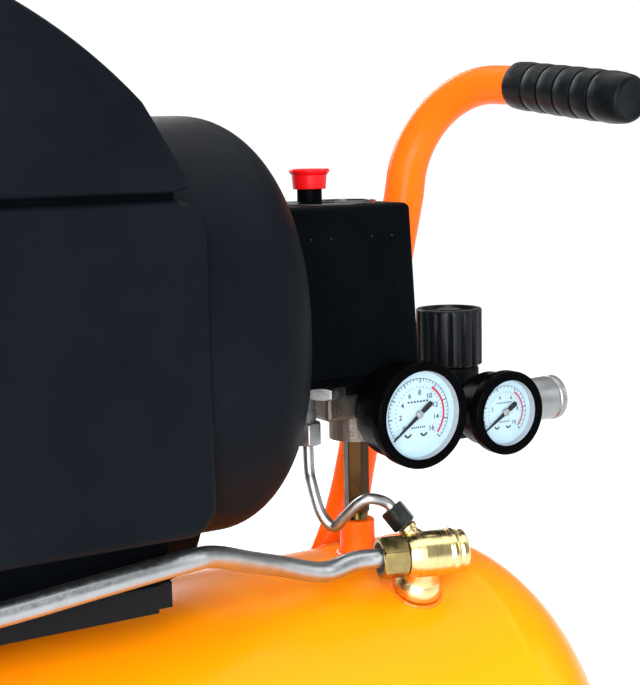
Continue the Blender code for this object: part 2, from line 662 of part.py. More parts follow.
def check_valve():
    profile = [(0, 0.0225), (0.0092, 0.0225), (0.0107, 0.0212), (0.0104, 0.0170), (0.0115, 0.0160),
               (0.0117, 0.0132), (0.0111, 0.0118), (0.0111, -0.0060), (0.0092, -0.0081), (0, -0.0081)]
    body = turned("check_valve_body", profile, BRASS, CHECK_CENTRE, CHECK_AXIS, 24)
    join(body, rod("check_neck", 0.0088, -0.0200, -0.004, None, NECK_START, CHECK_OUT, 16))
    join(body, rod("check_flange", 0.0115, -0.0223, -0.0180, None, NECK_START, CHECK_OUT, 20))
    join(body, rod("check_branch", 0.0040, 0.004, 0.0172, None, BRANCH_START, BRANCH_AXIS, 16))
    nut_end = -0.0213
    nut = hexagon("check_valve_nut", 0.0186, nut_end, -0.0084, BRASS, CHECK_CENTRE, CHECK_AXIS, math.radians(90))
    cut(nut, rod("nut_hole", 0.0055, nut_end - 0.002, nut_end + 0.008, None, CHECK_CENTRE, CHECK_AXIS, 16))
    cut(nut, rod("nut_recess", 0.0076, nut_end - 0.002, nut_end + 0.002, None, CHECK_CENTRE, CHECK_AXIS, 20))
    start = CHECK_CENTRE + CHECK_AXIS * (nut_end + 0.0070)
    leave = CHECK_CENTRE + CHECK_AXIS * (nut_end - 0.012)
    route = [start, leave, (0.1114, -0.0460, 0.3048), (0.0849, -0.0520, 0.3138), (0.0641, -0.0620, 0.3217),
             (0.0403, -0.0750, 0.3312), (0.0230, -0.0830, 0.3340), (-0.0129, -0.0870, 0.3322),
             (-0.0700, -0.0880, 0.3275), (-0.1150, -0.0880, 0.3290), (-0.1310, -0.0880, 0.3450),
             (-0.1330, -0.0880, 0.3900), (-0.1330, -0.0880, 0.5200), (-0.1330, -0.0820, 0.5460),
             (-0.1330, -0.0620, 0.5590), (-0.1330, -0.0480, 0.5590), (-0.1330, -0.0360 - GAP, 0.5590)]
    bent("discharge_tube", smooth_route(route, 2), 0.0048, ALUMINIUM, 1)


def smooth_route(points, samples):
    """Smooth curve through every point, sampled evenly between each pair."""
    places = [Vector(point) for point in points]
    places = [2 * places[0] - places[1]] + places + [2 * places[-1] - places[-2]]
    route = []
    for i in range(1, len(places) - 2):
        a, b, c, d = places[i - 1:i + 3]
        for step in range(samples):
            t = step / samples
            route.append(0.5 * (2 * b + (c - a) * t + (2 * a - 5 * b + 4 * c - d) * t ** 2
                                + (3 * b - a - 3 * c + d) * t ** 3))
    return route + [places[-2]]


def unloader():
    x, y = 0.1270, -0.0080
    valve = hexagon("unloader_valve", 0.0124, 0.3580, 0.3692, STEEL, (x, y, 0), (0, 0, 1))
    join(valve, rod("unloader_spigot", 0.0044, 0.3680, 0.3883, None, (x, y, 0)))
    nut = hexagon("unloader_nut", 0.0114, 0.0175, 0.0285, STEEL, BRANCH_START, BRANCH_AXIS)
    cut(nut, rod("unloader_nut_hole", 0.0032, 0.0220, 0.036, None, BRANCH_START, BRANCH_AXIS, 12))
    end = BRANCH_START + BRANCH_AXIS * 0.0245
    leave = BRANCH_START + BRANCH_AXIS * 0.0315
    route = [(x, y, 0.3576), (0.1266, -0.0095, 0.3450), (0.1264, -0.0120, 0.3389), (0.1281, -0.0170, 0.3250),
             (0.1321, -0.0225, 0.3182), (0.1351, -0.0285, 0.3242), (0.1390, -0.0345, 0.3314),
             (0.1439, -0.0385, 0.3340), leave, end]
    bent("unloader_tube", smooth_route(route, 2), 0.0027, STEEL, 1)


# ---------------------------------------------------------------- gauges
def gauge(prefix, place, bezel, depth, back_reach):
    """Back-connected pressure gauge facing -Y: case with its stem, dial, needle and lens."""
    x, z = place
    back = depth
    throat = bezel - 0.0045
    floor = -back + 0.002
    case = [(0, floor), (throat, floor), (throat, 0.0), (bezel - 0.0008, 0.0), (bezel, -0.0012),
            (bezel, -0.0060), (bezel - 0.0015, -0.0072), (bezel - 0.0022, -back + 0.006),
            (bezel - 0.0080, -back), (0.0060, -back), (0.0060, -back_reach), (0, -back_reach)]
    turned(prefix + "_case", case, BLACK_PLASTIC, (x, GAUGE_Y, z), (0, -1, 0), 28)
    rod(prefix + "_dial", throat - GAP, -0.0062, -0.0050, DIAL_FACE, (x, GAUGE_Y, z), (0, -1, 0), 28)
    rod(prefix + "_lens", throat - GAP, -0.0026, -0.0012, LENS, (x, GAUGE_Y, z), (0, -1, 0), 28)
    tail, tip, hub = bezel * 0.34, bezel * 0.70, bezel * 0.085
    wide = math.degrees(math.asin(0.0009 / hub))
    outline = [(-tail, -0.0013)] + arc((0, 0), hub, 180 + wide, 360 - wide, 5)
    outline += [(tip, -0.00035), (tip, 0.00035)] + arc((0, 0), hub, wide, 180 - wide, 5)
    outline += [(-tail, 0.0013)]
    rest = Matrix.Rotation(math.radians(NEEDLE_REST), 3, "Y") @ Matrix.Rotation(math.radians(90), 3, "X")
    plate(prefix + "_needle", [outline], 0.0008, BLACK_STEEL, (x, GAUGE_Y + 0.0038, z), rest)


def gauges():
    gauge("gauge_tank", TANK_GAUGE, 0.026, 0.030, 0.058 - 0.0120 - GAP)
    gauge("gauge_outlet", OUTLET_GAUGE, 0.021, 0.027, 0.058 - 0.0155 - 0.0005)


# ---------------------------------------------------------------- regulator and outlet
def star(radius, depth, ribs):
    """Outline of a ribbed knob: flat-topped ribs with narrow grooves."""
    points = []
    for i in range(ribs):
        for part, reach in ((0.00, radius), (0.62, radius), (0.70, radius - depth), (0.92, radius - depth)):
            angle = 2 * math.pi * (i + part) / ribs
            points.append((reach * math.cos(angle), reach * math.sin(angle)))
    return points


def regulator():
    top = 0.4180
    turned("regulator_body", [(0, 0.3945), (0.0100, 0.3945), (0.0100, 0.3880), (0.0150, 0.3870), (0.0155, 0.3790),
                              (0.0155, 0.3530), (0.0130, 0.3500), (0, 0.3500)],
           BLACK_STEEL, (REGULATOR_X, 0, 0), (0, 0, 1), 28)
    knob = as_mesh(plate("regulator_knob", [star(0.01735, 0.0011, 16)], top - 0.3885, BLACK_PLASTIC,
                         (REGULATOR_X, 0, (top + 0.3885) / 2), FACING_Z))
    cut(knob, rod("knob_hollow", 0.0112, 0.3800, 0.3960, None, (REGULATOR_X, 0, 0), steps=24))
    cut(knob, tube_ring("knob_recess", 0.0138, 0.0060, top - 0.0016, top + 0.002, None,
                        (REGULATOR_X, 0, 0), (0, 0, 1), 24))


def coupler():
    """Quick coupler: fixed body with the plug mouth, and a sleeve that slides back."""
    start = REGULATOR_X + 0.0155 + GAP
    floor = HALF_LENGTH - 0.0229
    seat = HALF_LENGTH - 0.0369
    body = [(0, floor), (MOUTH_RADIUS, floor), (MOUTH_RADIUS, HALF_LENGTH), (0.0096, HALF_LENGTH),
            (0.0096, seat), (0.0120, seat), (0.0120, seat - 0.0075), (0.0100, seat - 0.0085),
            (0.0100, start), (0, start)]
    turned("coupler_body", body, STEEL, (0, 0, OUTLET_Z), (1, 0, 0), 24)
    end = HALF_LENGTH - 0.0010
    sleeve = [(0.0114, end), (0.0122, end - 0.0025), (0.0122, end - 0.0045), (0.0116, end - 0.0052),
              (0.0122, end - 0.0060), (0.0122, end - 0.0290), (0.0112, end - 0.0300),
              (0.0099, end - 0.0300), (0.0099, end)]
    turned("coupler_sleeve", sleeve, CHROME, (0, 0, OUTLET_Z), (1, 0, 0), 24, ring=True)


def safety_valve():
    """Spring relief valve on the back of the manifold, pulled open by its ring."""
    x, z = 0.1770, 0.3725
    profile = [(0, 0.0160), (0.0028, 0.0160), (0.0028, 0.0300), (0.0055, 0.0300), (0.0055, 0.0120),
               (0.0075, 0.0120), (0.0075, 0.0050), (0.0050, 0.0050), (0.0050, 0), (0, 0)]
    turned("safety_valve", profile, BRASS, (x, 0.0120 + GAP, z), (0, 1, 0), 20)
    ring = turned("safety_ring", [(0.0110, 0.0009), (0.0110, -0.0009), (0.0088, -0.0009), (0.0088, 0.0009)],
                  STEEL, (x, 0.0120 + GAP + 0.0450, z), (1, 0, 0), 24, ring=True)
    join(ring, rod("ring_stem", 0.0022, 0.0170, 0.0355, None, (x, 0.0120 + GAP, z), (0, 1, 0), 12))


# ---------------------------------------------------------------- drain, feet, wheels and handle
def drain():
    base = TANK_Z - TANK_RADIUS - GAP
    x = 0.020
    turned("drain_valve", [(0, 0), (0.0100, 0), (0.0100, -0.0060), (0.0065, -0.0065), (0.0065, -0.0150),
                           (0, -0.0150)], BRASS, (x, 0, base), (0, 0, 1), 20)
    wing = plate("drain_knob", [[(-0.012, -0.0020), (0.012, -0.0020), (0.012, 0.0020), (-0.012, 0.0020)]],
                 0.0100, BRASS, (x, 0, base - 0.0150 - GAP - 0.0050), FACING_Z)
    join(as_mesh(wing), rod("drain_hub", 0.0055, -0.0252 - GAP, -0.0152 - GAP, None, (x, 0, base), steps=16))


def strap(name, path, wall, width, look, x):
    """Bent strip: a path in (Y, Z) with even thickness, extruded along X."""
    shape = bmesh.new()
    near = [shape.verts.new((x - width / 2, y, z)) for y, z in path]
    far = [shape.verts.new((x + width / 2, y, z)) for y, z in path]
    for i in range(len(path) - 1):
        shape.faces.new((near[i], near[i + 1], far[i + 1], far[i]))
    mesh = bpy.data.meshes.new(name)
    shape.to_mesh(mesh)
    shape.free()
    made = piece(name, mesh, look)
    shell = made.modifiers.new("wall", "SOLIDIFY")
    shell.thickness = wall
    shell.offset = 0
    shell.use_even_offset = True
    return made


def feet():
    pad = FOOT_HEIGHT + GAP + 0.0015
    radius = TANK_RADIUS + 0.0015 + GAP
    under = [(y, TANK_Z + dz) for y, dz in arc((0, 0), radius, -118, -62, 10)]
    path = [(-0.096, pad), (-0.062, pad)] + under + [(0.062, pad), (0.096, pad)]
    strap("foot_bracket", path, 0.003, 0.034, BLACK_STEEL, FOOT_X)
    for name, side in (("rubber_foot_front", -1), ("rubber_foot_rear", 1)):
        turned(name, [(0, FOOT_HEIGHT), (0.013, FOOT_HEIGHT), (0.016, 0.002), (0.015, 0), (0, 0)], RUBBER,
               (FOOT_X, side * FOOT_Y, 0), (0, 0, 1), 24)


def wheels():
    leg, cross = 0.1025, TANK_Z - TANK_RADIUS - GAP - 0.0015
    bracket = strap("wheel_bracket", [(-leg, 0.109), (-leg, cross), (leg, cross), (leg, 0.109)], 0.003,
                    0.044, BLACK_STEEL, WHEEL_X)
    for name, side in (("front", -1), ("rear", 1)):
        out = (0, side, 0)
        hub = WHEEL_RADIUS
        join(bracket, rod("axle_" + name, 0.0060, 0.1015, 0.1360, None, (WHEEL_X, 0, hub), out, 20))
        profile = [(0.0063, 0.134), (0.014, 0.134), (0.016, 0.132), (0.038, 0.130), (0.042, 0.134),
                   (0.054, WHEEL_OUTER_Y), (WHEEL_RADIUS, 0.133), (WHEEL_RADIUS, 0.115),
                   (0.054, WHEEL_INNER_Y), (0.042, 0.113), (0.038, 0.117), (0.016, 0.115),
                   (0.014, WHEEL_INNER_Y), (0.0063, WHEEL_INNER_Y)]
        turned("wheel_" + name, profile, RUBBER, (WHEEL_X, 0, hub), out, 28, ring=True)


HANDLE_FOOT = Vector((0.1772, HANDLE_Y, 0.2730))
HANDLE_KNEE = Vector((0.2398, HANDLE_Y, 0.5368))
GRIP_START = Vector((0.2552, -0.0140, 0.5332))
GRIP_END = Vector((0.2572, -0.0970, 0.5230))


def handle():
    corners = [HANDLE_FOOT, HANDLE_KNEE, GRIP_START, GRIP_END + (GRIP_START - GRIP_END) * 0.25]
    points = rounded_path(corners[:3], 0.046, 6) + [corners[3]]
    tube = as_mesh(bent("handle_tube", points, HANDLE_TUBE_RADIUS, HANDLE_PAINT, 3))
    cut(tube, rod("tank_form", TANK_RADIUS + GAP, 0.10, 0.25, None, (0, 0, TANK_Z), (1, 0, 0), 64))
    along = GRIP_START - GRIP_END
    length = along.length
    bore = HANDLE_TUBE_RADIUS + GAP
    grip = [(0, 0), (0.0095, 0), (0.0117, 0.0020), (GRIP_RADIUS, 0.0060)]
    bands, band = 6, (length - 0.012) / 6
    for i in range(bands):
        start = 0.008 + i * band
        grip += [(GRIP_RADIUS, start + band - 0.0030), (GRIP_RADIUS - 0.0009, start + band - 0.0015)]
        if i < bands - 1:
            grip += [(GRIP_RADIUS, start + band)]
    grip += [(GRIP_RADIUS - 0.0010, length), (bore, length), (bore, length * 0.24), (0, length * 0.24)]
    turned("handle_grip", grip[::-1], RUBBER, GRIP_END, along, 20)


def build():
    tank()
    saddles()
    platform()
    shroud_base()
    motor_cover()
    pump_cover()
    crankcase()
    cylinder()
    cylinder_head()
    piston()
    connecting_rod()
    crankshaft()
    motor()
    cooling_fan()
    riser()
    manifold()
    pressure_switch()
    check_valve()
    unloader()
    gauges()
    regulator()
    coupler()
    safety_valve()
    drain()
    feet()
    wheels()
    handle()


build()
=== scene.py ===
"""Looks of the horizontal-tank air compressor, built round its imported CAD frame. Lengths are in metres."""

import json
from math import asin, atan2, cos, degrees, exp, hypot, pi, radians, sin, sqrt, tan

import bmesh
import bpy
from mathutils import Matrix, Vector


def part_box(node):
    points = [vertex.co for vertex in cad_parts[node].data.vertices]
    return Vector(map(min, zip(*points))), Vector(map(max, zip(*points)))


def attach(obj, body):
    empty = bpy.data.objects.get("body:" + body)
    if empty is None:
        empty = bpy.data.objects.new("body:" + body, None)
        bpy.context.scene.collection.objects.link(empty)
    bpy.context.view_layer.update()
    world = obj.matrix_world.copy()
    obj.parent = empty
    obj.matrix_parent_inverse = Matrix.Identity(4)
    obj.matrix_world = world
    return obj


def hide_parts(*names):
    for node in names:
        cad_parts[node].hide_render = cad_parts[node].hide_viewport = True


scene = bpy.context.scene
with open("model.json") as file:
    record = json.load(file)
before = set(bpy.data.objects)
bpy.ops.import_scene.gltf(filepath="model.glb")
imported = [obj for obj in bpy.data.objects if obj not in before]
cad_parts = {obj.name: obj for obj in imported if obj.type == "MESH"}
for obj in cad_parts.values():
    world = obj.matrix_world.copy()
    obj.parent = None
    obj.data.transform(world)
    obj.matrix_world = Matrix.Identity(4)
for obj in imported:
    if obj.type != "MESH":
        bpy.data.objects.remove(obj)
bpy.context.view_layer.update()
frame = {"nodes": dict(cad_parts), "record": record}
NODES = frame["nodes"]
BODY = {node: body for body, group in frame["record"]["behaviour"]["bodies"].items() for node in group}
FRONT, OUTLET, UP = (0, -1, 0), (1, 0, 0), (0, 0, 1)


# ---------------------------------------------------------------- placing pieces
def aim(made, direction, axis):
    """Turn an object so that its local axis points in a direction."""
    made.rotation_mode = "QUATERNION"
    made.rotation_quaternion = Vector(direction).to_track_quat(axis, "Y")


def put(name, mesh, look, location=(0, 0, 0), direction=None):
    """Link a mesh object, with local +Z turned to a direction."""
    made = bpy.data.objects.new(name, mesh)
    made.location = location
    if direction is not None:
        aim(made, direction, "Z")
    mesh.materials.append(look)
    scene.collection.objects.link(made)
    return made


def stands_for(made, *nodes):
    """Show a finished piece in place of CAD nodes, on their body."""
    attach(made, BODY[nodes[0]])
    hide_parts(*nodes)
    return made


def adds_to(made, node):
    """An extra piece that rides on a CAD node's body and shares its finish."""
    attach(made, BODY[node])
    return made


def keep(node, look, bevel=0.0, angle=35):
    """Keep a CAD node's shape, with a better material and softened edges."""
    made = NODES[node]
    made.data.materials.clear()
    made.data.materials.append(look)
    made.data.shade_smooth()
    made.data.set_sharp_from_angle(angle=radians(angle))
    if bevel:
        soften(made, bevel)


def soften(made, width, segments=2, angle=32):
    """Round the sharp edges with a bevel modifier."""
    bevel = made.modifiers.new("edges", "BEVEL")
    bevel.width = width
    bevel.segments = segments
    bevel.limit_method = "ANGLE"
    bevel.angle_limit = radians(angle)
    bevel.harden_normals = True


# ---------------------------------------------------------------- shapes
def flat_mesh(name, shape):
    mesh = bpy.data.meshes.new(name)
    shape.to_mesh(mesh)
    shape.free()
    return mesh


def to_mesh(name, shape, sharp=38):
    """Mesh with even normals and its sharp edges marked."""
    bmesh.ops.recalc_face_normals(shape, faces=shape.faces)
    mesh = flat_mesh(name, shape)
    mesh.shade_smooth()
    mesh.set_sharp_from_angle(angle=radians(sharp))
    return mesh


def skin(shape, rows, closed=False):
    """Quads between neighbouring rings of vertices."""
    following = rows[1:] + rows[:1] if closed else rows[1:]
    for a, b in zip(rows, following):
        for i in range(len(a)):
            j = (i + 1) % len(a)
            shape.faces.new((a[i], a[j], b[j], b[i]))


def circle(shape, radius, height, steps):
    """Ring of vertices about local Z."""
    return [shape.verts.new((radius * cos(2 * pi * i / steps),
                             radius * sin(2 * pi * i / steps), height)) for i in range(steps)]


def fillet(points, radius, count=4):
    """Round the inner corners of an open line of 2D points."""
    places = [Vector(p) for p in points]
    out = [tuple(places[0])]
    for before, corner, after in zip(places, places[1:], places[2:]):
        into, away = before - corner, after - corner
        if into.length < 1e-7 or away.length < 1e-7 or into.angle(away) > radians(160):
            out.append(tuple(corner))
            continue
        half = into.angle(away) / 2
        reach = min(radius / tan(half), 0.45 * into.length, 0.45 * away.length)
        first = corner + into.normalized() * reach
        last = corner + away.normalized() * reach
        for i in range(count + 1):
            t = i / count
            out.append(tuple((1 - t) ** 2 * first + 2 * t * (1 - t) * corner + t * t * last))
    return out + [tuple(places[-1])]


def turned(name, profile, look, location=(0, 0, 0), direction=UP, steps=96, ring=False, sharp=38):
    """Turned piece from a (radius, height) profile about local +Z."""
    shape = bmesh.new()
    rows = []
    for radius, height in profile:
        if radius < 1e-6:
            rows.append([shape.verts.new((0, 0, height))])
        else:
            rows.append(circle(shape, radius, height, steps))
    pairs = list(zip(rows, rows[1:]))
    if ring:
        pairs.append((rows[-1], rows[0]))
    for a, b in pairs:
        for i in range(steps):
            j = (i + 1) % steps
            corners = [a[i % len(a)], a[j % len(a)], b[j % len(b)], b[i % len(b)]]
            distinct = [v for k, v in enumerate(corners) if v not in corners[:k]]
            if len(distinct) > 2:
                shape.faces.new(distinct)
    return put(name, to_mesh(name, shape, sharp), look, location, direction)


def swept(name, points, radius, look, sides=28, section=None, across=None):
    """Tube along points. section(i) may give (width, thickness) factors, with the width along across."""
    places = [Vector(p) for p in points]
    shape = bmesh.new()
    rows = []
    side = Vector(across) if across else None
    for i, place in enumerate(places):
        ahead = (places[min(i + 1, len(places) - 1)] - places[max(i - 1, 0)]).normalized()
        if side is None:
            side = ahead.orthogonal().normalized()
        side = (side - ahead * side.dot(ahead)).normalized()
        up = ahead.cross(side)
        wide, thin = section(i) if section else (1.0, 1.0)
        rows.append([shape.verts.new(place + radius * (wide * cos(2 * pi * k / sides) * side
                                                       + thin * sin(2 * pi * k / sides) * up))
                     for k in range(sides)])
    skin(shape, rows)
    shape.faces.new(rows[0])
    shape.faces.new(rows[-1])
    return put(name, to_mesh(name, shape, 50), look)


def smooth_route(points, samples=8):
    """Catmull-Rom curve through every point."""
    places = [Vector(p) for p in points]
    places = [2 * places[0] - places[1]] + places + [2 * places[-1] - places[-2]]
    route = []
    for i in range(1, len(places) - 2):
        a, b, c, d = places[i - 1:i + 3]
        for step in range(samples):
            t = step / samples
            route.append(0.5 * (2 * b + (c - a) * t + (2 * a - 5 * b + 4 * c - d) * t ** 2
                                + (3 * b - a - 3 * c + d) * t ** 3))
    return route + [places[-2]]


def nut(name, flats, low, high, bore, look, location, direction, turn=0.0, chamfer=0.0011, steps=96):
    """Hexagon with chamfered corners and a bore, about local +Z."""
    corner = flats / sqrt(3.0)
    heights = [low + chamfer * k / 4 for k in range(5)] + [high - chamfer * k / 4 for k in range(4, -1, -1)]
    shape = bmesh.new()
    rows = []
    for height in heights:
        inward = max(0.0, chamfer - min(height - low, high - height))
        limit = corner - 1.6 * inward
        row = []
        for i in range(steps):
            angle = 2 * pi * i / steps
            local = (angle - turn) % (pi / 3) - pi / 6
            reach = min(flats / 2 / cos(local), limit)
            row.append(shape.verts.new((reach * cos(angle), reach * sin(angle), height)))
        rows.append(row)
    rows = [circle(shape, bore, low, steps)] + rows + [circle(shape, bore, high, steps)]
    skin(shape, rows, closed=True)
    return put(name, to_mesh(name, shape, 24), look, location, direction)


def prism(name, outline, place, look, bevel=0.0, segments=3):
    """Closed 2D outline extruded by place(u, v, side) for side 0 and 1."""
    shape = bmesh.new()
    near = [shape.verts.new(place(u, v, 0)) for u, v in outline]
    far = [shape.verts.new(place(u, v, 1)) for u, v in outline]
    shape.faces.new(near)
    shape.faces.new(far[::-1])
    for i in range(len(outline)):
        j = (i + 1) % len(outline)
        shape.faces.new((near[i], near[j], far[j], far[i]))
    made = put(name, to_mesh(name, shape, 30), look)
    if bevel:
        soften(made, bevel, segments, 50)
    return made


def arc(centre, radius, start, end, count):
    """Points of a circular arc, with angles in degrees."""
    steps = [radians(start + (end - start) * i / count) for i in range(count + 1)]
    return [(centre[0] + radius * cos(a), centre[1] + radius * sin(a)) for a in steps]


def boxes(name, places, size, look):
    """Several separate boxes in one mesh, each given by its centre."""
    shape = bmesh.new()
    for place in places:
        bmesh.ops.create_cube(shape, size=1.0, matrix=Matrix.Translation(place) @ Matrix.Diagonal((*size,
                                                                                                   1.0)))
    return put(name, flat_mesh(name, shape), look)


def even_normals(target):
    """Flat faces keep their own normal beside rounded edges."""
    weighted = target.modifiers.new("normals", "WEIGHTED_NORMAL")
    weighted.weight = 100
    weighted.keep_sharp = True


def carve(target, tool):
    """Cut with a tool, apply every modifier so far, and drop the tool."""
    cut = target.modifiers.new("cut", "BOOLEAN")
    cut.operation = "DIFFERENCE"
    cut.solver = "EXACT"
    cut.object = tool
    bake(target)
    bpy.data.objects.remove(tool, do_unlink=True)


def bake(target, sharp=38):
    """Apply every modifier of an object."""
    graph = bpy.context.evaluated_depsgraph_get()
    graph.update()
    mesh = bpy.data.meshes.new_from_object(target.evaluated_get(graph))
    target.modifiers.clear()
    target.data = mesh
    mesh.shade_smooth()
    mesh.set_sharp_from_angle(angle=radians(sharp))


# ---------------------------------------------------------------- materials
SWIRL = 0.025                   # how far the painted reflection's edge wanders in height


def fill(node, **values):
    """Set input sockets by name, with underscores for spaces."""
    for socket, value in values.items():
        node.inputs[socket.replace("_", " ")].default_value = value


def surface(name, colour, roughness, metallic=0.0, mottle=(0.06, 0.02), spread=0.06, spread_size=0.006,
            grain=None, stretch=(1, 1, 1), cells=False, wear_and_edge_highlight=None, painted_reflection=None, **sockets):
    """Procedural Principled material: mottled colour, uneven roughness and a fine relief.

    mottle and grain are (strength, size), wear_and_edge_highlight is the colour of lightened edges (worn
    edges, or a painted edge highlight), and painted_reflection is (colour, low, high): a painted reflection
    tint that comes in with height.
    """
    made = bpy.data.materials.new(name)
    made.use_nodes = True
    tree = made.node_tree
    link = tree.links.new
    shader = tree.nodes["Principled BSDF"]
    fill(shader, Metallic=metallic, **sockets)
    place = tree.nodes.new("ShaderNodeTexCoord")
    scale = tree.nodes.new("ShaderNodeMapping")
    fill(scale, Scale=stretch)
    link(place.outputs["Object"], scale.inputs["Vector"])

    def noise(size, detail):
        node = tree.nodes.new("ShaderNodeTexNoise")
        fill(node, Scale=1.0 / size, Detail=detail)
        link(scale.outputs["Vector"], node.inputs["Vector"])
        return node

    def remap(source, low, high, to_low=0.0, to_high=1.0):
        span = tree.nodes.new("ShaderNodeMapRange")
        fill(span, From_Min=low, From_Max=high, To_Min=to_low, To_Max=to_high)
        link(source, span.inputs["Value"])
        return span.outputs["Result"]

    def blend(under, amount, over):
        mix = tree.nodes.new("ShaderNodeMix")
        mix.data_type = "RGBA"
        link(amount, mix.inputs["Factor"])
        link(under, mix.inputs[6])
        mix.inputs[7].default_value = (*over, 1)
        return mix.outputs[2]

    contrast, cloud_size = mottle
    clouds = noise(cloud_size, 5)
    ramp = tree.nodes.new("ShaderNodeValToRGB")
    ramp.color_ramp.elements[0].position = 0.30
    ramp.color_ramp.elements[1].position = 0.72
    ramp.color_ramp.elements[0].color = (*[c * (1 - contrast) for c in colour], 1)
    ramp.color_ramp.elements[1].color = (*[min(1.0, c * (1 + contrast)) for c in colour], 1)
    link(clouds.outputs["Fac"], ramp.inputs["Fac"])
    paint = ramp.outputs["Color"]
    # Lighter colour on sharp edges: real edge wear on the black steel, a painted highlight along the shroud's
    # bevels.
    if wear_and_edge_highlight is not None:
        shape = tree.nodes.new("ShaderNodeNewGeometry")
        paint = blend(paint, remap(shape.outputs["Pointiness"], 0.54, 0.68), wear_and_edge_highlight)
    # Painted reflection: a darker tint that rises with world height, its edge wandering with noise.
    if painted_reflection is not None:
        reflection_tint, low, high = painted_reflection
        shape = tree.nodes.new("ShaderNodeNewGeometry")
        height = tree.nodes.new("ShaderNodeSeparateXYZ")
        link(shape.outputs["Position"], height.inputs["Vector"])
        swirl = noise(0.035, 2)
        fill(swirl, Distortion=1.2)
        shift = tree.nodes.new("ShaderNodeMath")
        shift.operation = "MULTIPLY_ADD"
        shift.inputs[1].default_value = 2 * SWIRL
        link(swirl.outputs["Fac"], shift.inputs[0])
        link(height.outputs["Z"], shift.inputs[2])
        paint = blend(paint, remap(shift.outputs["Value"], low + SWIRL, high + SWIRL), reflection_tint)
    link(paint, shader.inputs["Base Color"])
    patches = noise(spread_size, 3)
    uneven = remap(patches.outputs["Fac"], 0.3, 0.7, max(0.02, roughness - spread), roughness + spread)
    link(uneven, shader.inputs["Roughness"])
    if grain:
        strength, size = grain
        if cells:
            relief = tree.nodes.new("ShaderNodeTexVoronoi")
            fill(relief, Scale=1.0 / size)
            link(scale.outputs["Vector"], relief.inputs["Vector"])
            height = relief.outputs["Distance"]
        else:
            height = noise(size, 2).outputs["Fac"]
        bump = tree.nodes.new("ShaderNodeBump")
        fill(bump, Strength=strength, Distance=size * 0.35)
        link(height, bump.inputs["Height"])
        link(bump.outputs["Normal"], shader.inputs["Normal"])
    return made


TURNED = (0.06, 0.06, 1.0)
# The tank paint's height tint is a painted reflection: darker orange swirls along the tank's top, where the
# handle and air tube reflect.
tank_paint = surface("tank_powder_coat", (1.0, 0.268, 0.001), 0.24, mottle=(0.03, 0.09), spread=0.03,
                     grain=(0.10, 0.0022), painted_reflection=((1.0, 0.225, 0.004), 0.289, 0.303), Specular_IOR_Level=0.20,
                     IOR=1.30)
handle_paint = surface("handle_powder_coat", (1.0, 0.124, 0.005), 0.26, mottle=(0.05, 0.05), spread=0.03,
                       grain=(0.10, 0.0018), Specular_IOR_Level=0.20, IOR=1.30)
weld_paint = surface("weld_powder_coat", (1.0, 0.150, 0.004), 0.26, mottle=(0.08, 0.01), spread=0.04,
                     grain=(0.55, 0.0024), Specular_IOR_Level=0.4)
# The shroud plastic's lighter edge colour is a painted highlight along the bevels.
shroud_plastic = surface("shroud_plastic", (0.0030, 0.0043, 0.0064), 0.47, mottle=(0.22, 0.05), spread=0.05,
                         spread_size=0.02, grain=(0.28, 0.0009), cells=True, wear_and_edge_highlight=(0.050, 0.055, 0.060),
                         Specular_IOR_Level=0.075, IOR=1.30)
switch_plastic = surface("switch_plastic", (0.0012, 0.0017, 0.0024), 0.42, mottle=(0.25, 0.03), spread=0.06,
                         grain=(0.16, 0.0008), cells=True, Specular_IOR_Level=0.03, IOR=1.30)
gloss_black = surface("gauge_black", (0.0010, 0.0011, 0.0013), 0.20, mottle=(0.2, 0.02), spread=0.05,
                      grain=(0.04, 0.0015), Specular_IOR_Level=0.10, IOR=1.12)
switch_gloss = surface("switch_gloss", (0.0040, 0.0050, 0.0058), 0.18, mottle=(0.2, 0.02), spread=0.05,
                       grain=(0.05, 0.0010))
knob_plastic = surface("knob_plastic", (0.0036, 0.0046, 0.0060), 0.34, mottle=(0.2, 0.01), spread=0.06,
                       grain=(0.12, 0.0006), cells=True, Specular_IOR_Level=0.22, IOR=1.35)
black_steel = surface("black_steel", (0.0024, 0.0030, 0.0038), 0.46, mottle=(0.25, 0.03), spread=0.08,
                      grain=(0.16, 0.0012), wear_and_edge_highlight=(0.008, 0.008, 0.009), Specular_IOR_Level=0.12, IOR=1.25)
dull_brass = surface("dull_brass", (0.042, 0.021, 0.008), 0.36, 1.0, mottle=(0.22, 0.006), spread=0.10,
                     grain=(0.12, 0.0006))
bright_brass = surface("bright_brass", (0.68, 0.56, 0.27), 0.24, 1.0, mottle=(0.10, 0.003), spread=0.07,
                       spread_size=0.0016, grain=(0.10, 0.0005), stretch=TURNED)
hex_brass = surface("hex_brass", (0.30, 0.235, 0.095), 0.28, 1.0, mottle=(0.16, 0.004), spread=0.08,
                    grain=(0.12, 0.0005))
tube_metal = surface("drawn_aluminium", (0.36, 0.38, 0.395), 0.36, 1.0, mottle=(0.08, 0.006), spread=0.08,
                     spread_size=0.002, grain=(0.10, 0.0005))
zinc = surface("zinc_steel", (0.36, 0.37, 0.38), 0.38, 1.0, mottle=(0.12, 0.004), spread=0.10,
               grain=(0.08, 0.0006))
dark_steel = surface("dark_steel", (0.060, 0.070, 0.068), 0.30, 1.0, mottle=(0.15, 0.004), spread=0.08,
                     grain=(0.10, 0.0006))
sleeve_metal = surface("nickel_sleeve", (0.27, 0.28, 0.285), 0.34, 1.0, mottle=(0.05, 0.004), spread=0.06,
                       grain=(0.10, 0.0004), stretch=TURNED)
cast_metal = surface("cast_alloy", (0.125, 0.108, 0.092), 0.48, 0.9, mottle=(0.14, 0.008), spread=0.10,
                     grain=(0.45, 0.0010), cells=True)
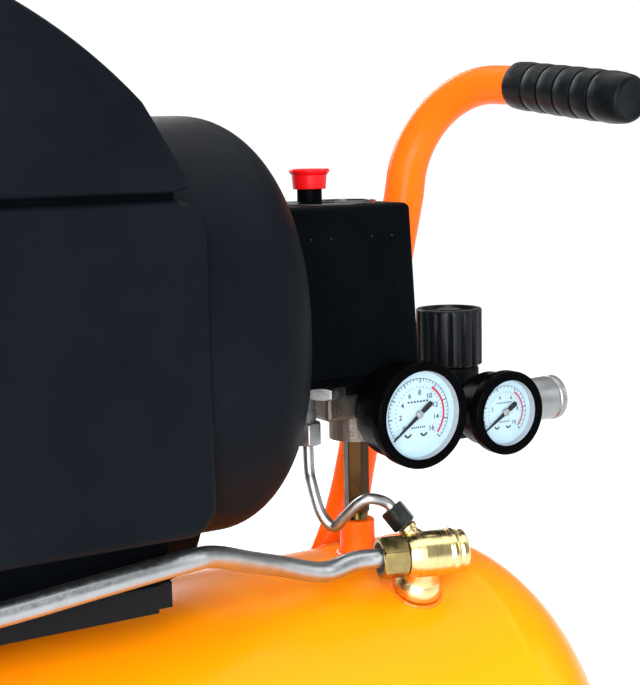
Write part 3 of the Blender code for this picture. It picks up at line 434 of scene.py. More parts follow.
iron = surface("grey_iron", (0.12, 0.12, 0.125), 0.58, 0.85, mottle=(0.2, 0.01), spread=0.08,
               grain=(0.5, 0.0012), cells=True)
red_plastic = surface("red_plastic", (0.66, 0.0050, 0.0080), 0.30, mottle=(0.06, 0.004), spread=0.05,
                      grain=(0.05, 0.0006), Subsurface_Weight=0.05, Specular_IOR_Level=0.20)
rubber = surface("grip_rubber", (0.0028, 0.0042, 0.0052), 0.33, mottle=(0.25, 0.006), spread=0.08,
                 grain=(0.35, 0.0009), Specular_IOR_Level=0.17, IOR=1.30)
tyre = surface("tyre_rubber", (0.014, 0.014, 0.015), 0.70, mottle=(0.25, 0.01), spread=0.08,
               grain=(0.4, 0.0010))
dial_white = surface("dial_print", (0.330, 0.470, 0.560), 0.45, mottle=(0.05, 0.008), spread=0.05,
                     grain=(0.05, 0.0005))
dial_black = surface("dial_ink_black", (0.008, 0.012, 0.016), 0.5, mottle=(0.2, 0.003), spread=0.05)
dial_red = surface("dial_ink_red", (0.36, 0.010, 0.030), 0.5, mottle=(0.1, 0.003), spread=0.05)
rim_grey = surface("gauge_inner_rim", (0.26, 0.29, 0.33), 0.42, mottle=(0.08, 0.004), spread=0.06)
needle_black = surface("needle_black", (0.0012, 0.0012, 0.0014), 0.35, mottle=(0.2, 0.002), spread=0.05,
                       Specular_IOR_Level=0.2)
lens_clear = surface("lens_clear", (0.12, 0.13, 0.14), 0.06, mottle=(0.02, 0.02), spread=0.02, Alpha=0.035,
                     Specular_IOR_Level=0.12)

# ---------------------------------------------------------------- air tank
R, AXIS_Z = 0.120, 0.175
SEAM_RIGHT, SEAM_LEFT = 0.2045, -0.2189
HEAD_DEPTH = 0.074
HEAD_RINGS = 32
TOP = AXIS_Z + R

shell = [(R, SEAM_RIGHT), (R, SEAM_LEFT)]
stands_for(turned("tank_body", shell, tank_paint, (0, 0, AXIS_Z), OUTLET, 160), "tank_shell")
for side, seam, node in ((1, SEAM_RIGHT, "tank_head_right"), (-1, SEAM_LEFT, "tank_head_left")):
    dome = [(R * cos(a), HEAD_DEPTH * sin(a))
            for a in [pi / 2 * (1 - i / HEAD_RINGS) for i in range(HEAD_RINGS + 1)]]
    stands_for(turned(node + "_dome", dome, tank_paint, (seam, 0, AXIS_Z), (side, 0, 0), 160), node)
    bead = [(R - 0.001, 0.0034), (R + 0.00005, 0.0030), (R + 0.00030, 0.0012), (R + 0.00030, -0.0012),
            (R + 0.00005, -0.0030), (R - 0.001, -0.0034)]
    adds_to(turned(node + "_seam", bead, tank_paint, (seam, 0, AXIS_Z), (side, 0, 0), 160), node)

COLUMN_X = 0.1602
bung = fillet([(0, 0.0185), (0.0090, 0.0185), (0.0090, -0.002)], 0.0012)
adds_to(turned("riser_bung", bung, handle_paint, (COLUMN_X, 0, TOP), steps=64), "tank_shell")


def weld_ring(name, centre, radius, normal, bead, node, look):
    """Rippled bead of weld round a round fitting on the tank."""
    normal = Vector(normal).normalized()
    side = normal.orthogonal().normalized()
    other = normal.cross(side)
    shape = bmesh.new()
    rows = []
    count, sides = 96, 10
    for i in range(count):
        angle = 2 * pi * i / count
        out = side * cos(angle) + other * sin(angle)
        spot = Vector(centre) + out * radius
        lift = hypot(spot.y, spot.z - AXIS_Z) - R
        spot -= Vector((0, spot.y, spot.z - AXIS_Z)).normalized() * lift
        size = bead * (1 + 0.13 * sin(14 * angle) + 0.07 * sin(5 * angle + 1))
        up = Vector((0, spot.y, spot.z - AXIS_Z)).normalized()
        rows.append([shape.verts.new(spot + size * (cos(2 * pi * k / sides) * out
                                                    + 0.85 * sin(2 * pi * k / sides) * up))
                     for k in range(sides)])
    skin(shape, rows, closed=True)
    adds_to(put(name, to_mesh(name, shape, 60), look), node)


weld_ring("bung_weld", (COLUMN_X, 0, TOP), 0.0098, UP, 0.0018, "tank_shell", weld_paint)

# ---------------------------------------------------------------- shroud
MOTOR_Z, DRUM_RADIUS, DRUM_END = 0.4227, 0.0968, 0.0945
SKIRT_Z = 0.3477


def drum():
    """Motor cover: superellipse rings with a rounded nose, flat under the pump cover."""
    count, squareness, power = 176, 2.24, 1 / 2.24
    stations = [(-0.012, DRUM_RADIUS), (0.0374, DRUM_RADIUS), (0.0376, DRUM_RADIUS), (0.050, DRUM_RADIUS)]
    for i in range(21):
        angle = pi / 2 * i / 20
        stations.append((DRUM_END - 0.0316 * (1 - sin(angle)), DRUM_RADIUS - 0.0428 * (1 - cos(angle))))
    stations += [(DRUM_END, 0.048), (DRUM_END, 0.036), (DRUM_END, 0.020)]
    shape = bmesh.new()
    rows = []
    for n, (x, radius) in enumerate(stations):
        row = []
        for i in range(count):
            c, s = cos(2 * pi * i / count), sin(2 * pi * i / count)
            reach = radius * (abs(c) ** squareness + abs(s) ** squareness) ** -power
            z = MOTOR_Z + reach * s
            row.append(shape.verts.new((x, reach * c, max(z, SKIRT_Z) if n < 2 else z)))
        rows.append(row)
    skin(shape, rows)
    shape.faces.new(rows[-1])
    made = put("motor_cover", to_mesh("motor_cover", shape, 50), shroud_plastic)
    wall = made.modifiers.new("wall", "SOLIDIFY")
    wall.thickness = 0.0025
    wall.offset = -1
    carve(made, boxes("motor_slots", [(DRUM_END, 0, MOTOR_Z + 0.011 * k) for k in range(-3, 4)],
                      (0.02, 0.066, 0.005), shroud_plastic))
    even_normals(made)
    stands_for(made, "shroud_motor_cover")


drum()

HUMP = (-0.1415, 0.3813)
HUMP_RADIUS = 0.2030
LEFT, RIGHT, HALF = -0.262, 0.0310, 0.100
LEDGE = 0.4865


def bend(corner, into, away, radius, count):
    """Points of the arc that rounds a corner between two unit directions."""
    half = into.angle(away) / 2
    centre = corner + (into + away).normalized() * radius / sin(half)
    a, b = [corner + way * radius / tan(half) - centre for way in (into, away)]
    sweep = a.angle(b)
    return [centre + (a * sin((1 - i / count) * sweep) + b * sin(i / count * sweep)) / sin(sweep)
            for i in range(count + 1)]


def rounded(corners, count=6):
    """Closed outline with each (u, v, radius) corner rounded."""
    out = []
    for k, (u, v, radius) in enumerate(corners):
        corner = Vector((u, v))
        into = (Vector(corners[k - 1][:2]) - corner).normalized()
        away = (Vector(corners[(k + 1) % len(corners)][:2]) - corner).normalized()
        out += [tuple(spot) for spot in bend(corner, into, away, radius, count)]
    return out


def shroud_slice(name, outline, half, bevel, segments):
    """Part of the pump cover: a side outline carried across its width."""
    made = prism(name, outline, lambda u, v, side: (u, -half if side == 0 else half, v), shroud_plastic)
    soften(made, bevel, segments, 50)
    return made


hx, hz = HUMP
shoulder, tip = 0.0040, (0.0243, 0.4900)
first = degrees(atan2(sqrt(HUMP_RADIUS ** 2 - (shoulder - hx) ** 2), shoulder - hx))
corner = 0.055
left_z = hz + sqrt((HUMP_RADIUS - corner) ** 2 - (LEFT + corner - hx) ** 2)
last = degrees(atan2(left_z - hz, LEFT + corner - hx))
hump = [tip] + arc(HUMP, HUMP_RADIUS, first, last, 64)
hump += arc((LEFT + corner, left_z), corner, last, 180, 14)[1:]
hump += [(LEFT, LEDGE + 0.0012), (0.0160, LEDGE + 0.0012)]
adds_to(shroud_slice("shroud_hump", hump, HALF, 0.0030, 5), "shroud_pump_cover")
panel = rounded([(LEFT, SKIRT_Z, 0.006), (RIGHT, SKIRT_Z, 0.013), (RIGHT, LEDGE - 0.0016, 0.015),
                 (LEFT, LEDGE - 0.0016, 0.006)], 10)
skirt = shroud_slice("shroud_panel", panel, HALF, 0.0050, 5)
bake(skirt, 30)
carve(skirt, boxes("panel_slots", [(LEFT, 0, MOTOR_Z + 0.012 * k) for k in range(-4, 5)],
                   (0.012, 0.110, 0.006), shroud_plastic))
even_normals(skirt)
stands_for(skirt, "shroud_pump_cover")
WAIST_LEFT, WAIST_RIGHT = LEFT + 0.004, 0.0185
WAIST_LOW, WAIST_HIGH = SKIRT_Z + 0.002, LEDGE + 0.008
waist = rounded([(WAIST_LEFT, WAIST_LOW, 0.004), (WAIST_RIGHT, WAIST_LOW, 0.004),
                 (WAIST_RIGHT, WAIST_HIGH, 0.002), (WAIST_LEFT, WAIST_HIGH, 0.002)], 4)
# The waist takes the darker switch plastic: painted shade in the groove between hump and panel.
core = shroud_slice("shroud_waist", waist, HALF - 0.0060, 0.003, 2)
core.data.materials[0] = switch_plastic
adds_to(core, "shroud_pump_cover")
# The base tray takes the darker switch plastic: painted shade under the cover's lower edge.
keep("shroud_base", switch_plastic, 0.0008)


def base_flare():
    """Wedge under the motor cover: the base's outlet end leans outwards."""
    low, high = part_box("shroud_base")
    lean, wide, narrow, start, clipped, end = 0.0075, 0.0755, 0.0595, 0.0050, 0.0128, 0.0366
    outline = [(start, -wide), (clipped, -wide), (end, -narrow),
               (end, narrow), (clipped, wide), (start, wide)]

    def place(u, v, side):
        return u + (lean * side if u > start else 0.0), v, (low.z + 0.0004, high.z - 0.0002)[side]

    # Darker switch plastic here too: painted shade under the motor cover.
    adds_to(prism("base_flare", outline, place, switch_plastic), "shroud_base")


base_flare()
keep("mount_plate", black_steel, 0.0008)

# ---------------------------------------------------------------- handle
HANDLE_RADIUS, HANDLE_BEND = 0.0104, 0.051
foot, knee = Vector((0.1772, 0.050, 0.2730)), Vector((0.2398, 0.050, 0.5368))
grip_start, grip_end = Vector((0.2552, -0.0140, 0.5332)), Vector((0.2572, -0.0970, 0.5230))


def handle_path():
    """Straight leg, one bend and a short straight into the grip."""
    curve = bend(knee, (foot - knee).normalized(), (grip_start - knee).normalized(), HANDLE_BEND, 24)
    leg = [foot + Vector((0, 0, -0.004)) + (curve[0] - foot) * i / 30 for i in range(30)]
    return leg + curve + [grip_start + (grip_end - grip_start) * t for t in (0.05, 0.2, 0.4, 0.6)]


route = handle_path()


def flare(i):
    """Flattened foot that spreads along the tank."""
    t = max(0.0, min(1.0, 1 - (route[i].z - 0.276) / 0.056)) ** 2.3
    lower = min(1.0, max(0.0, (0.535 - route[i].z) / 0.06))
    return 0.97 + 0.08 * lower + 0.88 * t, 0.97 + 0.08 * lower - 0.45 * t


stands_for(swept("handle_leg", route, HANDLE_RADIUS, handle_paint, 40, flare, OUTLET), "handle_tube")
foot_spot = Vector((0.1795, 0.050, TOP - 0.0110))
weld_ring("handle_weld", foot_spot, 0.0150, (0, 0.42, 0.9), 0.0016, "tank_shell", weld_paint)

along = (grip_start - grip_end).normalized()
length = (grip_start - grip_end).length
GRIP_RIBS, GROOVE_RADIUS = 6, 0.0104
grip = [(0, 0.0004), (0.0080, 0.0004), (0.0092, 0.0000), (0.0108, 0.0010), (0.0117, 0.0030), (0.0121, 0.0060)]
band = (length - 0.010) / GRIP_RIBS
for k in range(GRIP_RIBS):
    base = 0.0075 + k * band
    swell = 0.0124 + 0.0001 * sin(k)
    grip += [(swell, base + 0.0006), (swell + 0.0003, base + band * 0.45), (swell, base + band - 0.0014)]
    if k < GRIP_RIBS - 1:
        grip += [(GROOVE_RADIUS, base + band - 0.0011), (GROOVE_RADIUS, base + band - 0.0002),
                 (swell, base + band + 0.0001)]
grip += [(0.0121, length - 0.0012), (0.0112, length), (0.0104, length), (0.0104, length - 0.004),
         (0, length - 0.004)]
grip_piece = turned("grip_sleeve", fillet(grip, 0.0003, 2), rubber, grip_end, along, 96, sharp=50)
stands_for(grip_piece, "handle_grip")

# ---------------------------------------------------------------- riser, manifold and pressure switch
COLUMN = (COLUMN_X, 0, 0)
low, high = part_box("column_nipple")
riser = nut("riser_hexagon", 0.0114, low.z + 0.0035, high.z, 0.004, dull_brass, COLUMN, UP, radians(20),
            0.0007)
stands_for(riser, "column_nipple")
PITCH, CREST, ROOT = 0.0009, 0.0054, 0.0050
thread = [(CREST, low.z + 0.0040)]
for k in range(4):
    thread += [(CREST, low.z + 0.0036 - PITCH * k), (ROOT, low.z + 0.0032 - PITCH * k)]
adds_to(turned("riser_thread", thread + [(CREST, low.z)], hex_brass, COLUMN, UP, 48), "column_nipple")

keep("manifold", cast_metal, 0.0006)
keep("switch_base", switch_plastic, 0.0004)
SWITCH_X, SWITCH_LOW, SWITCH_TOP = 0.138, 0.3939, 0.4761
SWITCH_LONG, SWITCH_WIDE = 0.0412, 0.0325
DRAFT_LONG, DRAFT_WIDE = 0.0032, 0.0025
base_bolt = nut("switch_base_nut", 0.0190, 0.3815, 0.3872, 0.004, zinc, (0.1340, -0.0130, 0), UP, 0.3, 0.0008)
adds_to(base_bolt, "switch_base")


def rounded_rect(half_x, half_y, radius, count=8):
    """Closed outline of a rectangle with round corners."""
    out = []
    for sx, sy, start in ((1, 1, 0), (-1, 1, 90), (-1, -1, 180), (1, -1, 270)):
        out += arc((sx * (half_x - radius), sy * (half_y - radius)), radius, start, start + 90, count)
    return out


def switch_cover():
    """Drafted box with round corners and a soft top edge."""
    levels = [(SWITCH_LOW, 0.0), (SWITCH_LOW + 0.0006, 0.0), (SWITCH_TOP - 0.0050, 0.0)]
    levels += [(SWITCH_TOP - 0.0032 * (1 - sin(a)), 0.0032 * (1 - cos(a)))
               for a in [pi / 2 * i / 8 for i in range(9)]]
    shape = bmesh.new()
    rows = []
    for z, inset in levels:
        t = (z - SWITCH_LOW) / (SWITCH_TOP - SWITCH_LOW)
        outline = rounded_rect(SWITCH_LONG - DRAFT_LONG * t - inset, SWITCH_WIDE - DRAFT_WIDE * t - inset,
                               0.0038 - inset * 0.6)
        rows.append([shape.verts.new((SWITCH_X + x, y, z)) for x, y in outline])
    skin(shape, rows)
    shape.faces.new(rows[-1])
    shape.faces.new(rows[0])
    stands_for(put("switch_housing", to_mesh("switch_housing", shape, 40), switch_plastic), "switch_cover")


def switch_front(z):
    """Where the drafted front face stands at a height."""
    return DRAFT_WIDE * (z - SWITCH_LOW) / (SWITCH_TOP - SWITCH_LOW) - SWITCH_WIDE


def switch_rib(name, x):
    """Low upright rib that follows the drafted front."""
    def place(u, v, side):
        z = RIB_TOP + v
        return x + u, switch_front(z) + (0.0003 if side else -0.00006), z

    return prism(name, [(-0.0004, 0), (0.0004, 0), (0.0003, -0.040), (-0.0003, -0.040)], place,
                 switch_plastic)


switch_cover()
PIP_Z, RIB_TOP = 0.4606, 0.4562
for k, x in enumerate((0.1180, 0.1292, 0.1520, 0.1638)):
    dot = turned(f"switch_pip_{k}", [(0, 0.0005), (0.0004, 0.00042), (0.0007, 0.0001), (0.0008, -0.0004)],
                 knob_plastic, (x, switch_front(PIP_Z), PIP_Z), FRONT, 16)
    adds_to(dot, "switch_cover")
    adds_to(switch_rib(f"switch_rib_{k}", x), "switch_cover")
disc = fillet([(0.0140, 0.0003), (0.0140, 0.0010), (0.0165, 0.0010), (0.0175, -0.0004)], 0.0003)
adds_to(turned("switch_top_ring", disc, switch_gloss, (0.1560, 0.002, SWITCH_TOP)), "switch_cover")
plate = fillet([(0, 0.0005), (0.0250, 0.0005), (0.0255, -0.0004)], 0.0002)
adds_to(turned("switch_top_plate", plate, switch_gloss, (0.1440, 0.000, SWITCH_TOP)), "switch_cover")

KNOB = (0.1358, 0, SWITCH_TOP + 0.0003)
collar = fillet([(0.0034, 0.0081), (0.0061, 0.0081), (0.0061, 0.0006), (0.0080, 0.0001)], 0.0005)
stands_for(turned("button_collar", collar, switch_plastic, KNOB, UP, 64), "switch_collar")
knob = [(0, 0.0160), (0.0072, 0.0160), (0.0080, 0.0168), (0.0096, 0.0168), (0.0101, 0.0158), (0.0096, 0.0148),
        (0.0086, 0.0138), (0.0081, 0.0070), (0.0065, 0.0070), (0.0065, 0.0146), (0.0030, 0.0146),
        (0.0030, -0.0280), (0, -0.0280)]
stands_for(turned("red_button", fillet(knob, 0.0005, 3), red_plastic, KNOB, UP, 80), "switch_knob")
keep("cable_gland", switch_plastic, 0.0003)

# ---------------------------------------------------------------- check valve, unloader and air tubes
TILT = asin(0.381)
CHECK_OUT = Vector((0, -sin(TILT), cos(TILT)))
CHECK = Vector((0.162, 0, AXIS_Z)) + CHECK_OUT * (R + 0.0226)
CHECK_AXIS = Vector((cos(radians(15)), -sin(radians(15)), 0))
BRANCH_AXIS = Vector((-0.434, 0.474, 0.766)).normalized()
BRANCH = CHECK + CHECK_AXIS * 0.0038
NECK = CHECK + CHECK_AXIS * 0.0028

valve = [(0, 0.0225), (0.0088, 0.0225), (0.0104, 0.0215), (0.0107, 0.0190), (0.0103, 0.0182),
         (0.0101, 0.0172), (0.0113, 0.0164), (0.0117, 0.0152), (0.0117, 0.0140), (0.0112, 0.0130),
         (0.0109, 0.0122), (0.0111, 0.0112), (0.0112, 0.0010), (0.0108, -0.0050), (0.0098, -0.0081),
         (0, -0.0081)]
stands_for(turned("check_valve_barrel", fillet(valve, 0.0006, 3), bright_brass, CHECK, CHECK_AXIS, 96),
           "check_valve_body")
neck = [(0.0086, -0.001), (0.0087, -0.0100), (0.0093, -0.0135), (0.0110, -0.0163), (0.0117, -0.0188),
        (0.0116, -0.0214), (0.0108, -0.0223)]
adds_to(turned("check_valve_neck", fillet(neck, 0.001, 3), bright_brass, NECK, CHECK_OUT, 72),
        "check_valve_body")
branch = [(0.0052, 0.0080), (0.0046, 0.0112), (0.0039, 0.0124), (0.0039, 0.0140), (0.0047, 0.0147),
          (0.0048, 0.0164), (0.0042, 0.0172), (0, 0.0172)]
adds_to(turned("check_valve_branch", fillet(branch, 0.0005, 3), bright_brass, BRANCH, BRANCH_AXIS, 64),
        "check_valve_body")
weld_ring("valve_weld", NECK - CHECK_OUT * 0.0226, 0.0119, CHECK_OUT, 0.0012, "tank_shell", weld_paint)
NUT_END = -0.0213
stands_for(nut("tube_nut", 0.0186, NUT_END, -0.0084, 0.0078, hex_brass, CHECK, CHECK_AXIS, radians(92),
               0.0009), "check_valve_nut")
ferrule = [(0.0078, NUT_END + 0.0004), (0.0072, NUT_END + 0.0022), (0.0050, NUT_END + 0.0026)]
adds_to(turned("tube_ferrule", ferrule, iron, CHECK, CHECK_AXIS, 64), "check_valve_nut")
stands_for(nut("small_tube_nut", 0.0114, 0.0175, 0.0285, 0.0030, dark_steel, BRANCH, BRANCH_AXIS, 0.2,
               0.0008), "unloader_nut")

supply = [CHECK + CHECK_AXIS * (NUT_END + 0.0070), CHECK + CHECK_AXIS * (NUT_END - 0.012),
          (0.1114, -0.0460, 0.3048), (0.0849, -0.0520, 0.3138), (0.0641, -0.0620, 0.3217),
          (0.0403, -0.0750, 0.3312), (0.0230, -0.0830, 0.3340), (-0.0129, -0.0870, 0.3322),
          (-0.0700, -0.0880, 0.3275), (-0.1150, -0.0880, 0.3290), (-0.1310, -0.0880, 0.3450),
          (-0.1330, -0.0880, 0.3900), (-0.1330, -0.0880, 0.5200), (-0.1330, -0.0820, 0.5460),
          (-0.1330, -0.0620, 0.5590), (-0.1330, -0.0480, 0.5590), (-0.1330, -0.0363, 0.5590)]
stands_for(swept("supply_tube", smooth_route(supply), 0.0049, tube_metal, 32), "discharge_tube")
relief = [(0.1270, -0.0080, 0.3584), (0.1266, -0.0095, 0.3450), (0.1264, -0.0120, 0.3389),
          (0.1281, -0.0170, 0.3250), (0.1321, -0.0225, 0.3182), (0.1351, -0.0285, 0.3242),
          (0.1390, -0.0345, 0.3314), (0.1439, -0.0385, 0.3340), BRANCH + BRANCH_AXIS * 0.0315,
          BRANCH + BRANCH_AXIS * 0.0245]
stands_for(swept("relief_tube", smooth_route(relief), 0.0027, zinc, 24), "unloader_tube")
UNLOADER = (0.1270, -0.0080, 0)
stands_for(nut("unloader_hexagon", 0.0124, 0.3580, 0.3692, 0.0030, zinc, UNLOADER, UP, 0.1, 0.0007),
           "unloader_valve")
spigot = fillet([(0, 0.3883), (0.0044, 0.3883), (0.0044, 0.3770), (0.0040, 0.3762), (0.0044, 0.3754),
                 (0.0044, 0.3692)], 0.0003, 2)
adds_to(turned("unloader_spigot", spigot, iron, UNLOADER, UP, 48), "unloader_valve")

# ---------------------------------------------------------------- gauges
GAUGE_Y = -0.058


def ink(name, x, z, parts, look, node, y):
    """Flat print on a dial: faces in the dial's plane from (u, v) corners, seen from the front."""
    shape = bmesh.new()
    for corners in parts:
        shape.faces.new([shape.verts.new((x + u, y, z + v)) for u, v in corners])
    adds_to(put(name, flat_mesh(name, shape), look), node)


def tick(angle, inner, outer, width):
    """Radial mark of a scale."""
    c, s = cos(radians(angle)), sin(radians(angle))
    return [(inner * c - width * s, inner * s + width * c), (inner * c + width * s, inner * s - width * c),
            (outer * c + width * s, outer * s - width * c), (outer * c - width * s, outer * s + width * c)]


def ring_part(start, end, inner, outer, count=24, centre=(0, 0)):
    """Curved band of a scale, as quads."""
    near, far = [arc(centre, reach, start, end, count) for reach in (inner, outer)]
    return [[near[i], far[i], far[i + 1], near[i + 1]] for i in range(count)]


def bar(u, v, width, height):
    """Upright rectangle from its lower left corner."""
    return [(u, v), (u + width, v), (u + width, v + height), (u, v + height)]


def numerals(name, marks, x, z, y, size, look, node):
    """Dial numbers as flat meshes, each given as (text, u, v)."""
    shape = bmesh.new()
    for text, u, v in marks:
        curve = bpy.data.curves.new(name, "FONT")
        curve.body = text
        curve.size = size
        curve.offset = size * 0.015
        curve.align_x = "CENTER"
        curve.align_y = "CENTER"
        letter = bpy.data.objects.new(name + "_text", curve)
        scene.collection.objects.link(letter)
        graph = bpy.context.evaluated_depsgraph_get()
        graph.update()
        mesh = bpy.data.meshes.new_from_object(letter.evaluated_get(graph))
        mesh.transform(Matrix.Translation((x + u, y, z + v)) @ Matrix.Rotation(pi / 2, 4, "X"))
        shape.from_mesh(mesh)
        bpy.data.objects.remove(letter, do_unlink=True)
    adds_to(put(name, flat_mesh(name, shape), look), node)


def gauge(prefix, x, z, bezel, depth, reach, steps_count):
    """Case, rim, dial, window and print of a gauge. depth is the case's, and reach goes to its stem's end."""
    node, dial = prefix + "_case", prefix + "_dial"
    throat = bezel - 0.0045
    case = [(throat, -0.0078), (throat, -0.0004), (throat + 0.0004, 0.0), (bezel - 0.0010, 0.0),
            (bezel, -0.0010), (bezel, -0.0066), (bezel - 0.0012, -0.0074), (bezel - 0.0016, -0.0090),
            (bezel - 0.0022, -depth + 0.008), (bezel - 0.0042, -depth + 0.0025), (bezel - 0.0095, -depth),
            (0.0070, -depth), (0.0070, -depth - 0.004), (0.0058, -depth - 0.005), (0.0058, -reach)]
    centre = (x, GAUGE_Y, z)
    stands_for(turned(prefix + "_housing", fillet(case, 0.0008, 4), gloss_black, centre, FRONT, 128), node)
    rim = [(throat - 0.0001, -0.0014), (throat - 0.0003, -0.0030), (throat - 0.0005, -0.0049)]
    adds_to(turned(prefix + "_rim", rim, rim_grey, centre, FRONT, 128), node)
    face = [(0, -0.0050), (throat, -0.0050)]
    stands_for(turned(prefix + "_face", face, dial_white, centre, FRONT, 96), dial)
    lens = [(0, -0.0006), (throat * 0.5, -0.0008), (throat, -0.0014), (throat, -0.0024), (0, -0.0018)]
    stands_for(turned(prefix + "_window", lens, lens_clear, centre, FRONT, 96), prefix + "_lens")
    print_y = GAUGE_Y + 0.00488
    visible = throat - 0.0005
    first, last = 217, -45
    black = []
    for k in range(steps_count * 5 + 1):
        angle = first + (last - first) * k / (steps_count * 5)
        major = k % 5 == 0
        inner = 0.73 if major else 0.77
        black.append(tick(angle, visible * inner, visible * 0.83, 0.00026 if major else 0.00015))
    black += ring_part(first, last, visible * 0.825, visible * 0.838, 64)
    for k in range(31):
        angle = first + (last - first) * k / 30
        black.append(tick(angle, visible * 0.66, visible * (0.61 if k % 5 else 0.59), 0.00011))
    for u in (-0.30, 0.14):
        black += ring_part(190, 350, visible * 0.055, visible * 0.105, 12, (u * visible, -0.42 * visible))
    for v, half_width in ((0.30, 0.30), (-0.30, 0.20)):
        step = 2 * half_width / 7 * visible
        black += [bar(k * step - half_width * visible, (v - 0.02) * visible, 0.6 * step, 0.04 * visible)
                  for k in range(7)]
    ink(prefix + "_scale", x, z, black, dial_black, dial, print_y)
    ink(prefix + "_red_zone", x, z, ring_part(58, -42, visible * 0.675, visible * 0.728, 48), dial_red,
        dial, print_y - 0.00003)
    marks = []
    for k in range(steps_count + 1):
        angle = radians(first + (last - first) * k / steps_count)
        marks.append((str(2 * k), visible * 0.50 * cos(angle), visible * 0.50 * sin(angle)))
    numerals(prefix + "_numbers", marks, x, z, print_y, visible * 0.165, dial_black, dial)


def needle(prefix, x, z, tip, tail, rest):
    """Tapered pointer with a wide tail and a hub, resting at the scale's zero."""
    angle = radians(rest)
    ahead = Vector((cos(angle), sin(angle)))
    side = Vector((-ahead.y, ahead.x))
    outline = [(-tail, -0.0012), (-tail * 0.45, -0.0012), (-tail * 0.25, -0.0009), (0, -0.0009),
               (tip, -0.00022), (tip, 0.00022), (0, 0.0009), (-tail * 0.25, 0.0009), (-tail * 0.45, 0.0012),
               (-tail, 0.0012), (-tail - 0.0007, 0)]
    node = prefix + "_needle"

    def place(u, v, s):
        spot = ahead * u + side * v
        return x + spot.x, GAUGE_Y + (0.0034 if s else 0.0042), z + spot.y

    stands_for(prism(prefix + "_pointer", outline, place, needle_black), node)
    hub = fillet([(0, -0.0026), (0.0009, -0.0026), (0.0010, -0.0030), (0.0018, -0.0031), (0.0019, -0.0045)],
                 0.0002, 2)
    adds_to(turned(prefix + "_hub", hub, zinc, (x, GAUGE_Y, z), FRONT, 48), node)


TANK_GAUGE = ("gauge_tank", 0.1625, 0.3757)
OUTLET_GAUGE = ("gauge_outlet", 0.2148, 0.3708)
gauge(*TANK_GAUGE, 0.026, 0.030, 0.045, 8)
needle(*TANK_GAUGE, 0.0190, 0.0084, 217)
gauge(*OUTLET_GAUGE, 0.021, 0.027, 0.0420, 5)
needle(*OUTLET_GAUGE, 0.0148, 0.0072, 213)

# ---------------------------------------------------------------- regulator and outlet
REG_X, OUT_Z = 0.2197, 0.3627
body = [(0, 0.3945), (0.0100, 0.3945), (0.0100, 0.3884), (0.0146, 0.3880), (0.0155, 0.3860), (0.0155, 0.3790),
        (0.0150, 0.3770), (0.0155, 0.3750), (0.0155, 0.3530), (0.0130, 0.3500), (0, 0.3500)]
stands_for(turned("regulator_housing", fillet(body, 0.001, 4), black_steel, (REG_X, 0, 0)), "regulator_body")


def fluted_knob():
    """Adjusting knob with broad ribs, narrow grooves and a recessed top."""
    ribs, per = 16, 12
    count = ribs * per
    radius, bottom, top = 0.01735, 0.3885, 0.4180
    levels = [(bottom, 0.0006, 1), (bottom + 0.0006, 0.0, 1), (top - 0.0024, 0.0, 1),
              (top - 0.0012, 0.0, 0.6), (top - 0.0004, 0.0002, 0.0), (top, 0.0006, 0.0)]
    shape = bmesh.new()
    rows = []
    for z, inset, depth in levels:
        row = []
        for i in range(count):
            t = (i % per) / per
            groove = exp(-((t - 0.5) / 0.13) ** 2)
            reach = radius - inset - 0.0012 * depth * groove
            angle = 2 * pi * i / count
            row.append(shape.verts.new((reach * cos(angle), reach * sin(angle), z)))
        rows.append(row)
    well = top - 0.0016
    hub = top - 0.0004
    for reach, z in ((0.0142, top), (0.0138, well), (0.0066, well), (0.0060, hub), (0.0006, hub)):
        rows.append(circle(shape, reach, z, count))
    skin(shape, rows)
    shape.faces.new(rows[-1])
    shape.faces.new(rows[0])
    made = put("regulator_handwheel", to_mesh("regulator_handwheel", shape, 42), knob_plastic, (REG_X, 0, 0))
    stands_for(made, "regulator_knob")


fluted_knob()
END = 0.2929
socket = [(0, END - 0.0229), (0.0062, END - 0.0229), (0.0062, END - 0.0006), (0.0068, END), (0.0092, END),
          (0.0096, END - 0.0006), (0.0096, END - 0.0369), (0.0120, END - 0.0369), (0.0120, END - 0.0444),
          (0.0100, END - 0.0454), (0.0100, REG_X + 0.0158), (0, REG_X + 0.0158)]
stands_for(turned("coupler_core", fillet(socket, 0.0004, 3), zinc, (0, 0, OUT_Z), OUTLET, 80), "coupler_body")
LIP = END - 0.0010
sleeve = [(0.0099, LIP), (0.0112, LIP), (0.0122, LIP - 0.0010), (0.0122, LIP - 0.0042),
          (0.0116, LIP - 0.0048), (0.0116, LIP - 0.0056), (0.0121, LIP - 0.0062), (0.0119, LIP - 0.0140),
          (0.0121, LIP - 0.0215), (0.0116, LIP - 0.0222), (0.0116, LIP - 0.0232), (0.0122, LIP - 0.0240),
          (0.0122, LIP - 0.0288), (0.0112, LIP - 0.0300), (0.0099, LIP - 0.0300)]
stands_for(turned("coupler_collar", fillet(sleeve, 0.0004, 3), sleeve_metal, (0, 0, OUT_Z), OUTLET, 96,
                  ring=True), "coupler_sleeve")

